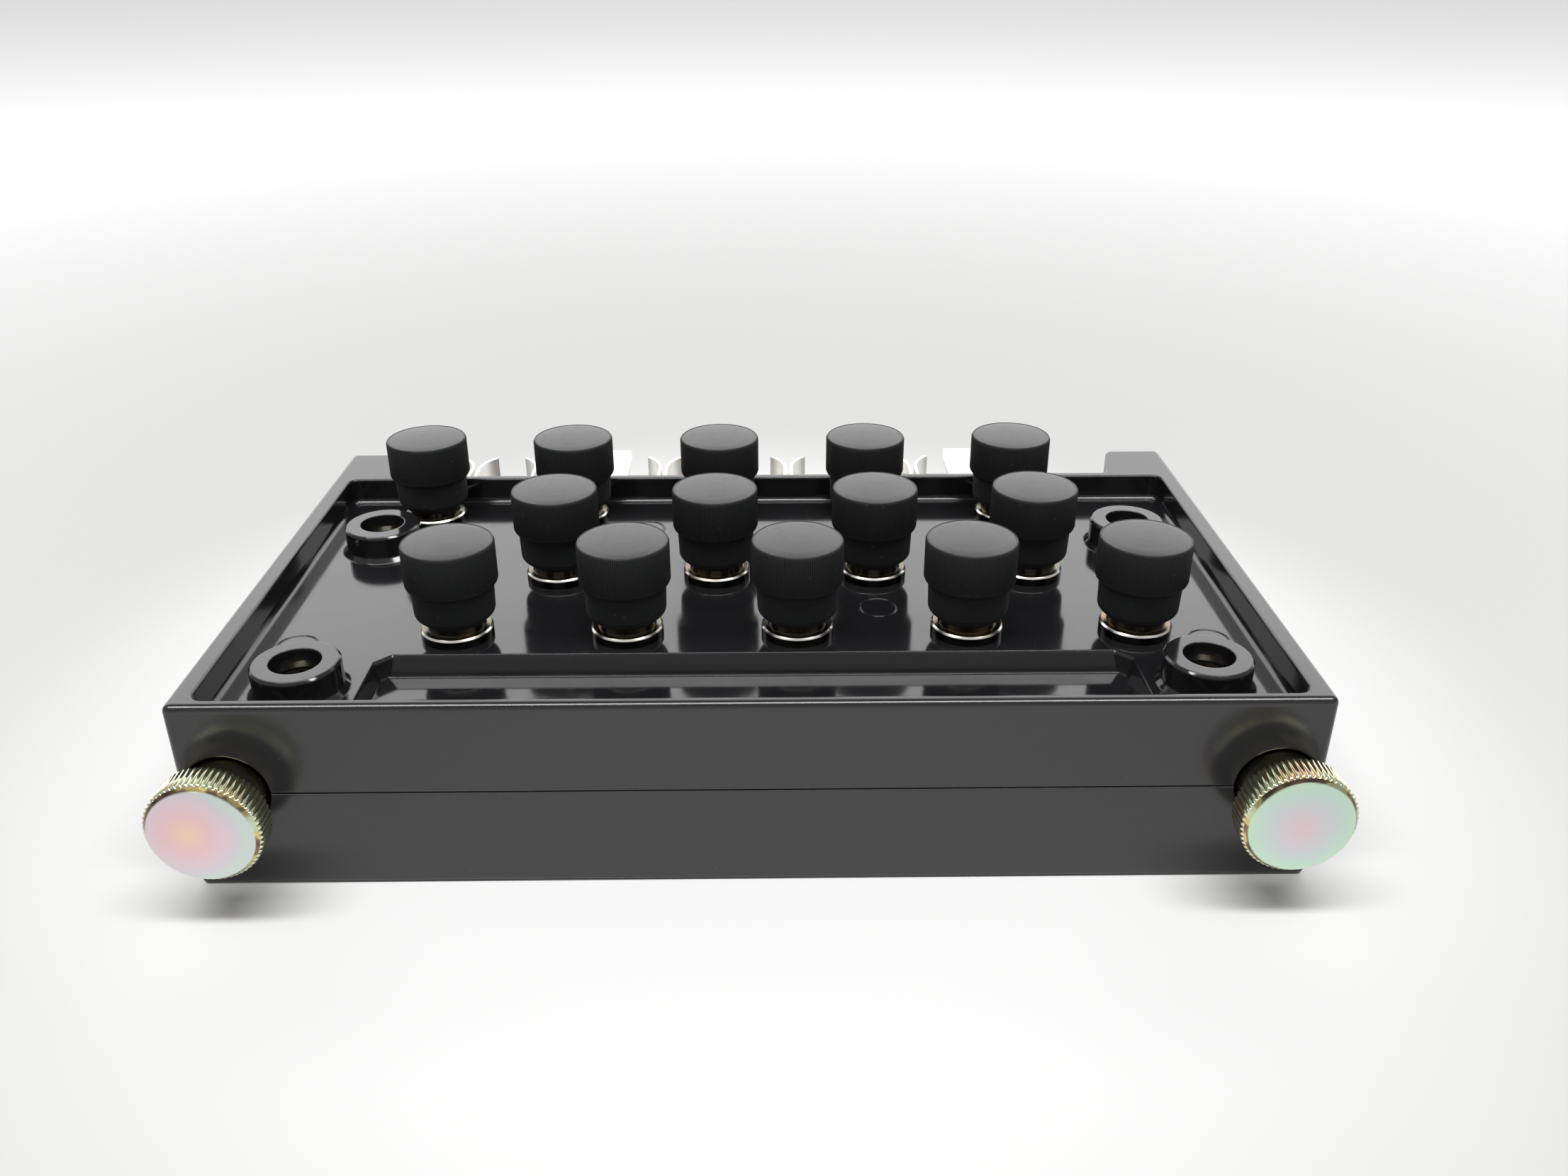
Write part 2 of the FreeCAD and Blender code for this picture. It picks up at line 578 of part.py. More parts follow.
def leaf(contact_x, sign):
    """One spring leaf: a riveted foot and an upright blade that flares towards its tip."""
    front = size("front_face")
    near = size("leaf_half_gap")
    thick = size("leaf_thick")
    start, bend = front + size("leaf_start"), front + size("leaf_bend")
    along = size("leaf_tip") - size("leaf_bend")
    across = size("leaf_flare") - near
    bow = (along * along + across * across) / (2 * across)
    sweep = math.asin(along / bow)
    foot_level = size("deck_level") - size("deck_thick")

    def spot(x, y):
        return FreeCAD.Vector(contact_x + sign * x, y, foot_level)

    def on_bow(radius, angle):
        return spot(near + bow - radius * math.cos(angle), bend + radius * math.sin(angle))

    inner, outer = bow, bow - thick
    edges = [
        Part.LineSegment(spot(near, start), spot(near, bend)).toShape(),
        Part.Arc(on_bow(inner, 0), on_bow(inner, sweep / 2), on_bow(inner, sweep)).toShape(),
        Part.LineSegment(on_bow(inner, sweep), on_bow(outer, sweep)).toShape(),
        Part.Arc(on_bow(outer, sweep), on_bow(outer, sweep / 2), on_bow(outer, 0)).toShape(),
        Part.LineSegment(spot(near + thick, bend), spot(near + thick, start)).toShape(),
        Part.LineSegment(spot(near + thick, start), spot(near, start)).toShape()]
    upright_blade = Part.Face(Part.Wire(edges)).extrude(
        FreeCAD.Vector(0, 0, size("leaf_top") - foot_level))
    foot_edge = near + size("foot_width")
    end = front + size("foot_end")
    foot = flat_prism([(contact_x + sign * near, start), (contact_x + sign * foot_edge, start),
                       (contact_x + sign * foot_edge, end), (contact_x + sign * near, end)],
                      foot_level, size("foot_thick"))
    hole = disc(contact_x + sign * size("rivet_x"), front + size("rivet_y"), foot_level - 1,
                size("rivet_radius"), 4)
    return upright_blade.fuse(foot).cut(hole).removeSplitter()


def blade(contact_x):
    """One wide contact: a riveted foot, an upright and a flat tongue with a tapered nose."""
    front = size("front_face")
    foot_level = size("deck_level") - size("deck_thick")
    thick = size("blade_thick")
    start = front + size("leaf_start")
    riser, wide = size("riser_half"), size("blade_half")
    nose = wide - size("blade_taper")
    shoulder = front + size("blade_end") - size("blade_nose")
    end = front + size("blade_end")
    foot = flat_prism([(contact_x - riser, start), (contact_x + riser, start),
                       (contact_x + riser, front + size("foot_end")),
                       (contact_x - riser, front + size("foot_end"))],
                      foot_level, size("foot_thick"))
    stand = flat_prism([(contact_x - riser, start), (contact_x + riser, start),
                        (contact_x + riser, start + thick), (contact_x - riser, start + thick)],
                       foot_level, size("leaf_top") - foot_level)
    tongue = flat_prism([(contact_x - wide, start), (contact_x + wide, start),
                         (contact_x + wide, shoulder), (contact_x + nose, end),
                         (contact_x - nose, end), (contact_x - wide, shoulder)],
                        size("leaf_top") - thick, thick)
    holes = [disc(contact_x + sign * size("rivet_x"), front + size("rivet_y"), foot_level - 1,
                  size("rivet_radius"), 4) for side, sign in SIDES]
    return foot.multiFuse([stand, tongue]).cut(Part.makeCompound(holes)).removeSplitter()


def rivet(x, y):
    """One rivet through a contact's foot and its strap."""
    head = size("rivet_head_high")
    foot_level = size("deck_level") - size("deck_thick")
    bottom = foot_level - size("strap_thick")
    top = foot_level + size("foot_thick")
    body = disc(x, y, bottom - head, size("rivet_radius"), top - bottom + 2 * head)
    ends = [disc(x, y, bottom - head, size("rivet_head"), head),
            disc(x, y, top, size("rivet_head"), head)]
    return body.multiFuse(ends).removeSplitter()


def make_contacts():
    """The rank of rear contacts and the rivets that hold them to the straps."""
    leaves = []
    blades = []
    rivets = []
    for number, offset in enumerate(contact_offsets()):
        contact_x = offset * size("contact_pitch")
        if number in BLADE_PLACES:
            blades.append(blade(contact_x))
        else:
            leaves += [leaf(contact_x, sign) for side, sign in SIDES]
        rivets += [rivet(contact_x + sign * size("rivet_x"), size("front_face") + size("rivet_y"))
                   for side, sign in SIDES]
    for title, solids in (("jaw_contacts", leaves), ("blade_contacts", blades),
                          ("contact_rivets", rivets)):
        feature = DOC.addObject("Part::Feature", title + "_group")
        feature.Shape = Part.makeCompound(solids)
        named(feature, title)


def make_insulating_sheet():
    """The fibre sheet that lies on the ribs, between the live straps and the floor."""
    named(box("sheet", "-sheet_half", "front_face+sheet_front", "sheet_level",
              "2*sheet_half", "sheet_rear-sheet_front", "sheet_thick"), "insulating_sheet")


def make_thumbscrews():
    """Two captive thumbscrews, each with the open ring that keeps it in its bore."""
    profile = [
        ("0", "head_front"), ("head_face", "head_front"),
        ("head_radius", "head_front+head_chamfer"), ("head_radius", "head_back-head_rear_chamfer"),
        ("head_radius-head_rear_chamfer", "head_back"), ("neck_radius", "head_back"),
        ("neck_radius", "neck_end"), ("shank_radius", "neck_end"),
        ("shank_radius", "groove_start"), ("groove_radius", "groove_start"),
        ("groove_radius", "groove_start+groove_width"),
        ("shank_radius", "groove_start+groove_width"), ("shank_radius", "shank_end"),
        ("thread_radius", "shank_end"), ("thread_radius", "thread_end-thread_chamfer"),
        ("thread_radius-thread_chamfer", "thread_end"), ("0", "thread_end")]
    for side, sign in SIDES:
        x = "screw_axis_x*(%d)" % sign
        FINISHED.append(turned("thumbscrew_body_" + side, "thumbscrew_" + side, profile,
                               x, "front_face", "lower_height", along="Y"))
        ring_y = "front_face+groove_start+(groove_width-ring_thick)/2"
        plate = cylinder("ring_plate_" + side, x, ring_y, "lower_height", "ring_outer",
                         "ring_thick", along="Y")
        eye = cylinder("ring_eye_" + side, x, ring_y + "-1", "lower_height", "ring_inner",
                       "ring_thick+2", along="Y")
        mouth = box("ring_mouth_" + side, x + "-ring_mouth/2", ring_y + "-1",
                    "lower_height-ring_outer-1", "ring_mouth", "ring_thick+2", "ring_outer+1")
        named(cut("ring_" + side, plate, [eye, mouth]), "retaining_ring_" + side)


def check_and_export():
    """Stop on any failed object, then write one file for each finished sub-part."""
    DOC.recompute()
    for thing in DOC.Objects:
        if "Invalid" in thing.State or "Error" in thing.State:
            raise RuntimeError("failed object: %s %s" % (thing.Name, thing.State))
    os.makedirs("parts", exist_ok=True)
    for thing in FINISHED:
        shape = thing.Shape
        if shape.isNull() or not shape.isValid() or not shape.Solids:
            raise RuntimeError("bad shape: " + thing.Label)
        shape.exportStep("parts/%s.step" % thing.Label)
        print("%-24s solids %3d  volume %10.2f" % (thing.Label, len(shape.Solids), shape.Volume))


FINISHED = []
fill_sheet()
make_upper_housing()
make_lower_housing()
make_housing_screws()
make_post_hardware()
make_caps()
make_straps()
make_contacts()
make_insulating_sheet()
make_thumbscrews()
check_and_export()
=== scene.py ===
"""A relay test plug: black moulding, fourteen knurled posts, two thumbscrews, spring contacts.

Every length is in metres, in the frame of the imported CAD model.
"""

import logging
import math
from dataclasses import dataclass
from enum import Enum
from typing import Optional, Sequence, Union

import bpy
from mathutils import Matrix, Vector


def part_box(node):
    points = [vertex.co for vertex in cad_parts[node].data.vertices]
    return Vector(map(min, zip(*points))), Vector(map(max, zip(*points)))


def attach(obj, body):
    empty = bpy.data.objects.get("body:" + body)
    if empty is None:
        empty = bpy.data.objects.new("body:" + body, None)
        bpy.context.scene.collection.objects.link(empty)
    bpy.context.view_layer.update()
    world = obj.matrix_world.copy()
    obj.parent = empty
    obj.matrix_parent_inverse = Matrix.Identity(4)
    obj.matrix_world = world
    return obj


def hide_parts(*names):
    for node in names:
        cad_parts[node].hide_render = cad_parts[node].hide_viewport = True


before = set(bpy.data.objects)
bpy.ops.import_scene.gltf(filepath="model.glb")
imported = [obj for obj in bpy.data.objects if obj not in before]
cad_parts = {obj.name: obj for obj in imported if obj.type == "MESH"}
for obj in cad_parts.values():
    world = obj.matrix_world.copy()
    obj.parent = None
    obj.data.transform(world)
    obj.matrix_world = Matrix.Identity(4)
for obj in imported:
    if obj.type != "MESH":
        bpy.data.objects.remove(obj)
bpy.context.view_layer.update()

logging.basicConfig(level=logging.INFO, format="%(message)s")
LOG = logging.getLogger("test_plug")

MM = 0.001
ON_AXIS = 1e-7  # a smaller radius is a single point
Number = Union[int, float]
Colour = tuple[float, float, float]
Profile = list[tuple[float, float]]


class Side(Enum):
    """Which end of the body a piece belongs to, as the sign of its x."""

    LEFT = -1
    RIGHT = 1

    @property
    def word(self) -> str:
        """The side's name as the CAD nodes spell it."""
        return self.name.lower()


# ---------------------------------------------------------------------------------------
# Shader maths
# ---------------------------------------------------------------------------------------


class Wire:
    """A socket whose arithmetic adds Math nodes."""

    def __init__(self, graph: "Canvas", socket: bpy.types.NodeSocket) -> None:
        """Wrap an output socket of a graph."""
        self.graph = graph
        self.socket = socket

    def maths(self, operation: str, *others: Union["Wire", Number]) -> "Wire":
        """Add one Math node.

        Args:
            operation: The Math node's operation.
            others: The further operands.

        Returns:
            The node's result.
        """
        node = self.graph.node("ShaderNodeMath", {"operation": operation},
                               dict(enumerate((self, *others))))
        return Wire(self.graph, node.outputs[0])

    def __add__(self, other: Union["Wire", Number]) -> "Wire":
        """This plus other."""
        return self.maths("ADD", other)

    def __sub__(self, other: Union["Wire", Number]) -> "Wire":
        """This less other."""
        return self.maths("SUBTRACT", other)

    def __rsub__(self, other: Number) -> "Wire":
        """Other less this."""
        return self * -1.0 + other

    def __mul__(self, other: Union["Wire", Number]) -> "Wire":
        """This times other."""
        return self.maths("MULTIPLY", other)

    def __truediv__(self, other: Union["Wire", Number]) -> "Wire":
        """This over other."""
        return self.maths("DIVIDE", other)

    def __pow__(self, other: Number) -> "Wire":
        """This to a power."""
        return self.maths("POWER", other)

    __radd__ = __add__
    __rmul__ = __mul__

    def clamp(self) -> "Wire":
        """This held between 0 and 1."""
        return self.maths("MINIMUM", 1.0).maths("MAXIMUM", 0.0)

    def step(self, low: float, high: float) -> "Wire":
        """A smooth rise from 0 at low to 1 at high; high may be the smaller."""
        node = self.graph.node("ShaderNodeMapRange", {"interpolation_type": "SMOOTHSTEP"},
                               {"Value": self, "From Min": low, "From Max": high})
        return Wire(self.graph, node.outputs["Result"])


Feed = Union[Wire, Number, Sequence[float]]


class Canvas:
    """A shader node tree and the one way of adding nodes to it."""

    def __init__(self, tree: bpy.types.NodeTree) -> None:
        """Empty a tree and take it over."""
        self.tree = tree
        self.tree.nodes.clear()

    def node(self, kind: str, settings: Optional[dict] = None,
             feeds: Optional[dict[Union[str, int], Feed]] = None) -> bpy.types.Node:
        """Add a node.

        Args:
            kind: The node's type name.
            settings: Its properties; "stops" fills a colour ramp with (position, colour).
            feeds: Values or wires for its inputs, by name or number.

        Returns:
            The new node.
        """
        node = self.tree.nodes.new(kind)
        for name, value in (settings or {}).items():
            if name == "stops":
                fill_ramp(node.color_ramp, value)
            else:
                setattr(node, name, value)
        for name, value in (feeds or {}).items():
            self.feed(node.inputs[name], value)
        return node

    def feed(self, socket: bpy.types.NodeSocket, value: Feed) -> None:
        """Link a wire to a socket, or set the socket's own value."""
        if isinstance(value, Wire):
            self.tree.links.new(value.socket, socket)
        elif isinstance(value, (int, float)):
            socket.default_value = value
        else:
            full = tuple(value)
            socket.default_value = full + (1.0,) * (len(socket.default_value) - len(full))

    def part(self, vector: Wire, axis: str) -> Wire:
        """One component of a vector."""
        node = self.node("ShaderNodeSeparateXYZ", {}, {0: vector})
        return Wire(self, node.outputs[axis])


class Graph(Canvas):
    """The node tree of one material, ending in one Principled shader."""

    def __init__(self, name: str) -> None:
        """Start an empty material called name."""
        self.material = bpy.data.materials.new(name)
        self.material.use_nodes = True
        super().__init__(self.material.node_tree)
        output = self.tree.nodes.new("ShaderNodeOutputMaterial")
        self.shader = self.tree.nodes.new("ShaderNodeBsdfPrincipled")
        self.tree.links.new(self.shader.outputs[0], output.inputs["Surface"])
        self.spot = Wire(self, self.node("ShaderNodeTexCoord").outputs["Object"])

    def surface(self, **feeds: Feed) -> None:
        """Set inputs of the Principled shader; an underscore stands for a space."""
        for name, value in feeds.items():
            self.feed(self.shader.inputs[name.replace("_", " ")], value)

    def moved(self, centre: Sequence[float] = (0, 0, 0), scale: Sequence[float] = (1, 1, 1),
              turn: Sequence[float] = (0, 0, 0)) -> Wire:
        """Object coordinates measured from a centre, then scaled and turned."""
        shifted = self.node("ShaderNodeVectorMath", {"operation": "SUBTRACT"},
                            {0: self.spot, 1: centre})
        mapped = self.node("ShaderNodeMapping", {},
                           {"Vector": Wire(self, shifted.outputs[0]), "Scale": scale,
                            "Rotation": turn})
        return Wire(self, mapped.outputs[0])

    def radius(self, centre: Sequence[float]) -> Wire:
        """The distance from an axis along Y through a centre."""
        local = self.moved(centre)
        across, height = self.part(local, "X"), self.part(local, "Z")
        return (across * across + height * height) ** 0.5

    def noise(self, per_metre: float, detail: float = 4.0, rough: float = 0.55,
              where: Optional[Wire] = None) -> Wire:
        """Soft noise between 0 and 1, with so many waves in a metre."""
        node = self.node("ShaderNodeTexNoise", {},
                         {"Vector": where or self.spot, "Scale": per_metre,
                          "Detail": detail, "Roughness": rough})
        return Wire(self, node.outputs[0])

    def specks(self, per_metre: float, size: float, share: float) -> Wire:
        """Scattered round specks.

        Args:
            per_metre: How many cells there are in a metre.
            size: The speck's radius as a share of its cell.
            share: How many of the cells hold a speck, from 0 to 1.

        Returns:
            1 in a speck and 0 elsewhere.
        """
        cells = self.node("ShaderNodeTexVoronoi", {"feature": "F1"},
                          {"Vector": self.spot, "Scale": per_metre})
        near = Wire(self, cells.outputs["Distance"]).step(size, size * 0.5)
        lot = self.node("ShaderNodeSeparateColor", {}, {0: Wire(self, cells.outputs["Color"])})
        return near * Wire(self, lot.outputs[0]).step(1.0 - share, 1.0 - share + 0.01)

    def ramp(self, factor: Wire, stops: Sequence[tuple[float, Colour]]) -> Wire:
        """Colours along a factor."""
        node = self.node("ShaderNodeValToRGB", {"stops": stops}, {0: factor})
        return Wire(self, node.outputs[0])

    def mix(self, factor: Feed, first: Feed, second: Feed) -> Wire:
        """A colour between two."""
        node = self.node("ShaderNodeMix", {"data_type": "RGBA"}, {0: factor, 6: first, 7: second})
        return Wire(self, node.outputs[2])

    def bump(self, height: Wire, depth: float, strength: float = 1.0,
             under: Optional[Wire] = None) -> Wire:
        """A bumped normal; depth is the relief in metres."""
        feeds = {"Height": height, "Distance": depth, "Strength": strength}
        if under:
            feeds["Normal"] = under
        return Wire(self, self.node("ShaderNodeBump", {}, feeds).outputs[0])


def fill_ramp(ramp: bpy.types.ColorRamp, stops: Sequence[tuple[float, Colour]]) -> None:
    """Give a colour ramp its stops."""
    while len(ramp.elements) < len(stops):
        ramp.elements.new(0.5)
    for element, (position, colour) in zip(ramp.elements, stops):
        element.position = position
        element.color = (*colour, 1.0)


# ---------------------------------------------------------------------------------------
# Finishes
# ---------------------------------------------------------------------------------------


@dataclass(frozen=True)
class Moulding:
    """Black phenolic with a dark seam: glossy on the deck; duller on the outer walls, which are
    painted greyer as painted light.
    """

    name: str = "black_phenolic"
    base: Colour = (0.0080, 0.0082, 0.0090)
    # painted light: the lighter grey given to the outer walls
    worn: Colour = (0.028, 0.028, 0.030)
    dusty: Colour = (0.055, 0.053, 0.051)
    gloss: float = 0.07
    wall_gloss: float = 0.09
    seam: float = 0.0163
    front_wall: float = -0.0494
    end_wall: float = 0.0819
    rim: float = 0.0303
    blend: float = 0.0003
    easing: float = 0.0004

    def build(self) -> bpy.types.Material:
        """Make the material."""
        graph = Graph(self.name)
        cloud = graph.noise(55.0, 6.0, 0.62)
        film = graph.noise(420.0, 5.0, 0.7)
        streaks = graph.noise(160.0, 4.0, 0.6, graph.moved(scale=(0.12, 1.0, 1.0)))
        specks = graph.specks(520.0, 0.09, 0.10)
        grains = graph.specks(1500.0, 0.16, 0.06)
        dust = (cloud.step(0.42, 0.75) * film.step(0.45, 0.8) * 0.3
                + specks * 0.6 + grains * 0.35).clamp()
        up = graph.part(graph.spot, "Z")
        seam = (up - self.seam).maths("ABSOLUTE").step(0.00025, 0.00008)
        front = graph.part(graph.spot, "Y").step(self.front_wall + self.blend,
                                                 self.front_wall - self.blend)
        ends = graph.part(graph.spot, "X").maths("ABSOLUTE").step(self.end_wall - self.blend,
                                                                  self.end_wall + self.blend)
        outside = (front + ends).clamp() * up.step(self.rim + self.blend, self.rim - self.blend)
        # painted light: the outer walls are painted lighter than the deck, standing in for the
        # light they catch
        tone = graph.mix(dust * 0.4, graph.mix(outside, self.base, self.worn), self.dusty)
        eased = graph.node("ShaderNodeBevel", {"samples": 6}, {"Radius": self.easing})
        soft = Wire(graph, eased.outputs[0])
        graph.surface(
            Base_Color=graph.mix(seam * 0.85, tone, (0.002, 0.002, 0.002)),
            Roughness=(self.gloss + outside * self.wall_gloss + cloud * 0.05
                       + streaks.step(0.45, 0.8) * 0.05 + dust * 0.35).clamp(),
            IOR=1.53,
            Normal=graph.bump(graph.noise(1500.0, 3.0), 0.000004, 0.35,
                              graph.bump(graph.noise(95.0, 2.0), 0.00004, 0.30, soft)))
        return graph.material


@dataclass(frozen=True)
class CapPlastic:
    """The moulded caps: dull black sides and a glossier crown, polished by hands."""

    name: str = "cap_plastic"
    base: Colour = (0.0165, 0.0172, 0.0172)
    crown: Colour = (0.016, 0.016, 0.017)
    crown_from: float = 0.04224
    crown_full: float = 0.04234

    def build(self) -> bpy.types.Material:
        """Make the material."""
        graph = Graph(self.name)
        top = graph.part(graph.spot, "Z").step(self.crown_from, self.crown_full)
        cloud = graph.noise(260.0, 6.0, 0.65)
        rub = graph.noise(900.0, 4.0, 0.6, graph.moved(scale=(1.0, 0.18, 1.0), turn=(0, 0, 0.5)))
        dust = graph.specks(700.0, 0.2, 0.18)
        tone = graph.mix(top * (0.55 + cloud * 0.7), self.base, self.crown)
        graph.surface(
            Base_Color=graph.mix(dust * 0.25, tone, (0.10, 0.097, 0.094)),
            Roughness=(0.55 - top * 0.27 + cloud * 0.08 + rub.step(0.5, 0.8) * 0.06).clamp(),
            Coat_Weight=top * (0.10 + cloud * 0.14),
            Coat_Roughness=0.22,
            Specular_IOR_Level=0.22,
            IOR=1.52,
            Normal=graph.bump(graph.noise(2600.0, 3.0), 0.000008, 0.35))
        return graph.material


@dataclass(frozen=True)
class YellowZinc:
    """Yellow chromate over zinc, whose colour turns with the film's thickness.

    The stops colour a screw's face outwards from the focus. The teeth have colours of their own;
    the chamfer runs in patches from a painted dark reflection to gold and green plate, and the
    neck behind the teeth is painted dark as painted shade.
    """

    name: str
    centre: tuple[float, float, float]
    stops: tuple[tuple[float, Colour], ...]
    focus: tuple[float, float, float] = (0.0, 0.0, 0.0)
    face_radius: float = 0.0075
    face_plane: float = -0.0599
    face_edge: float = 0.00025
    chamfer_back: float = -0.0592
    chamfer_radius: float = 0.0079
    neck_from: float = -0.0547
    blend: float = 0.0001
    drift: float = 0.30
    teeth: tuple[tuple[float, Colour], ...] = (
        (0.0, (0.64, 0.66, 0.42)), (0.35, (0.70, 0.76, 0.54)), (0.55, (0.80, 0.76, 0.52)),
        (0.72, (0.84, 0.66, 0.36)), (0.86, (0.66, 0.52, 0.50)), (1.0, (0.56, 0.74, 0.56)))
    # the chamfer's patches: the dark ones are painted dark reflection, the gold and green ones the
    # plate's colour
    chamfer: tuple[tuple[float, Colour], ...] = (
        (0.0, (0.10, 0.07, 0.05)), (0.35, (0.30, 0.20, 0.12)), (0.5, (0.72, 0.60, 0.24)),
        (0.7, (0.62, 0.50, 0.18)), (1.0, (0.55, 0.62, 0.42)))
    # painted shade for the neck behind the head
    shade: Colour = (0.20, 0.17, 0.11)

    def build(self) -> bpy.types.Material:
        """Make the material."""
        graph = Graph(self.name)
        radius = graph.radius(self.centre)
        cloud = graph.noise(130.0, 3.0, 0.5)
        fine = graph.noise(900.0, 4.0, 0.6)
        film = (graph.radius(self.focus) / self.face_radius + (cloud - 0.5) * self.drift
                + (fine - 0.5) * 0.10).clamp()
        back = graph.part(graph.spot, "Y")
        face = back.step(self.face_plane + self.face_edge, self.face_plane)
        side = graph.ramp((cloud * 0.65 + fine * 0.35).step(0.3, 0.7), self.teeth)
        neck = back.step(self.neck_from - 2 * self.blend, self.neck_from + 2 * self.blend)
        scratches = graph.noise(700.0, 3.0, 0.6, graph.moved(scale=(1.0, 1.0, 0.06),
                                                             turn=(0.0, 0.5, 0.0)))
        # painted shade: the neck, set back behind the head, is painted dark
        side = graph.mix(neck * 0.8, side, self.shade)
        band = (back.step(self.chamfer_back, self.chamfer_back - self.blend)
                * radius.step(self.chamfer_radius, self.chamfer_radius - self.blend))
        # the chamfer band gets patches of painted dark reflection
        side = graph.mix(band, side, graph.ramp(
            graph.noise(210.0, 2.0, 0.5).step(0.36, 0.64), self.chamfer))
        graph.surface(
            Base_Color=graph.mix(face, side, graph.ramp(film, self.stops)),
            Metallic=1.0,
            Roughness=(0.11 + face * 0.16 + fine * 0.10
                       + scratches.step(0.55, 0.8) * 0.10).clamp(),
            Normal=graph.bump(scratches, 0.000006, 0.25,
                              graph.bump(fine, 0.00001, 0.3)))
        return graph.material


@dataclass(frozen=True)
class Metal:
    """A plated or turned metal with two tints, fine scratches and a little tarnish."""

    name: str
    light: Colour
    dark: Colour
    tarnish: Colour
    gloss: float = 0.2
    patch: float = 180.0
    grain: tuple[float, float, float] = (1.0, 1.0, 1.0)

    def build(self) -> bpy.types.Material:
        """Make the material."""
        graph = Graph(self.name)
        cloud = graph.noise(self.patch, 5.0, 0.6)
        fine = graph.noise(1800.0, 4.0, 0.6, graph.moved(scale=self.grain))
        stain = graph.noise(self.patch * 2.3, 4.0, 0.7).step(0.56, 0.78)
        tone = graph.mix(cloud.step(0.3, 0.7), self.dark, self.light)
        graph.surface(
            Base_Color=graph.mix(stain * 0.7, tone, self.tarnish),
            Metallic=1.0,
            Roughness=(self.gloss + fine * 0.14 + stain * 0.2).clamp(),
            Normal=graph.bump(fine, 0.00001, 0.3))
        return graph.material


@dataclass(frozen=True)
class CollarPlate:
    """Plate on the collar: painted bright on the bevel as a painted highlight, painted near black
    below it as painted shade, and brown on the barrel, painted dark there as a painted reflection.
    """

    name: str = "collar_plate"
    # the bevel's plate colour, painted brighter as a painted highlight
    bright: Colour = (0.86, 0.83, 0.77)
    # the barrel's brown, painted darker as a painted reflection of the dark deck and caps
    brown: Colour = (0.15, 0.13, 0.095)
    amber: Colour = (0.42, 0.24, 0.12)
    # painted shade: the flange's side below the bevel, painted near black
    dull: Colour = (0.045, 0.043, 0.040)
    bevel_from: float = 0.02730
    bevel_full: float = 0.02740
    barrel_from: float = 0.02766
    barrel_full: float = 0.02770

    def build(self) -> bpy.types.Material:
        """Make the material."""
        graph = Graph(self.name)
        up = graph.part(graph.spot, "Z")
        cloud = graph.noise(150.0, 4.0, 0.6)
        fine = graph.noise(1800.0, 4.0, 0.6)
        stain = cloud.step(0.5, 0.68)
        bevel = up.step(self.bevel_from, self.bevel_full)
        barrel = up.step(self.barrel_from, self.barrel_full)
        plate = graph.mix(stain * 0.55, self.bright, self.amber)
        # painted highlight on the bevel over painted shade on the side below it
        lower = graph.mix(bevel, self.dull, plate)
        graph.surface(
            Base_Color=graph.mix(barrel, lower, graph.mix(stain * 0.6, self.brown, self.amber)),
            Metallic=1.0,
            Roughness=(0.14 + fine * 0.12 + stain * 0.10).clamp(),
            Normal=graph.bump(fine, 0.000006, 0.25))
        return graph.material


@dataclass(frozen=True)
class Fibre:
    """Vulcanised fibre board with visible threads."""

    name: str = "fibre_board"

    def build(self) -> bpy.types.Material:
        """Make the material."""
        graph = Graph(self.name)
        threads = graph.noise(900.0, 5.0, 0.7, graph.moved(scale=(0.15, 1.0, 1.0)))
        cloud = graph.noise(60.0, 4.0)
        graph.surface(
            Base_Color=graph.mix(threads.step(0.3, 0.75), (0.20, 0.10, 0.05), (0.40, 0.24, 0.13)),
            Roughness=(0.55 + cloud * 0.2).clamp(),
            Normal=graph.bump(threads, 0.00003, 0.5))
        return graph.material


@dataclass(frozen=True)
class Paper:
    """The floor of a studio: mid grey in a ring round the plug, painted paler inside the ring to
    cancel the plug's shadow and paler far off to make up for the lamps' fall-off, both as painted
    light.
    """

    name: str = "studio_paper"
    ring: Colour = (0.435, 0.435, 0.431)
    pale: Colour = (0.90, 0.90, 0.90)
    ring_radius: float = 0.15
    under_radius: float = 0.07
    far_from: float = 0.14
    far_full: float = 0.95
    under_share: float = 0.45

    def build(self) -> bpy.types.Material:
        """Make the material."""
        graph = Graph(self.name)
        length = graph.node("ShaderNodeVectorMath", {"operation": "LENGTH"}, {0: graph.spot})
        distance = Wire(graph, length.outputs["Value"])
        # painted light: paler far off, making up for the lamps' fall-off
        painted_far_light = distance.step(self.far_from, self.far_full)
        # painted light: paler under and round the plug, cancelling its shadow on the floor
        under = distance.step(self.ring_radius, self.under_radius) * self.under_share
        share = (painted_far_light + under + graph.noise(3.0, 3.0) * 0.03).clamp()
        graph.surface(Base_Color=graph.mix(share, self.ring, self.pale),
                      Roughness=0.8, Specular_IOR_Level=0.2)
        return graph.material


# ---------------------------------------------------------------------------------------
# Shapes
# ---------------------------------------------------------------------------------------


@dataclass(frozen=True)
class Corner:
    """A corner of a turned profile: radius, height along the axis, and rounding."""

    radius: float
    height: float
    rounding: float = 0.0


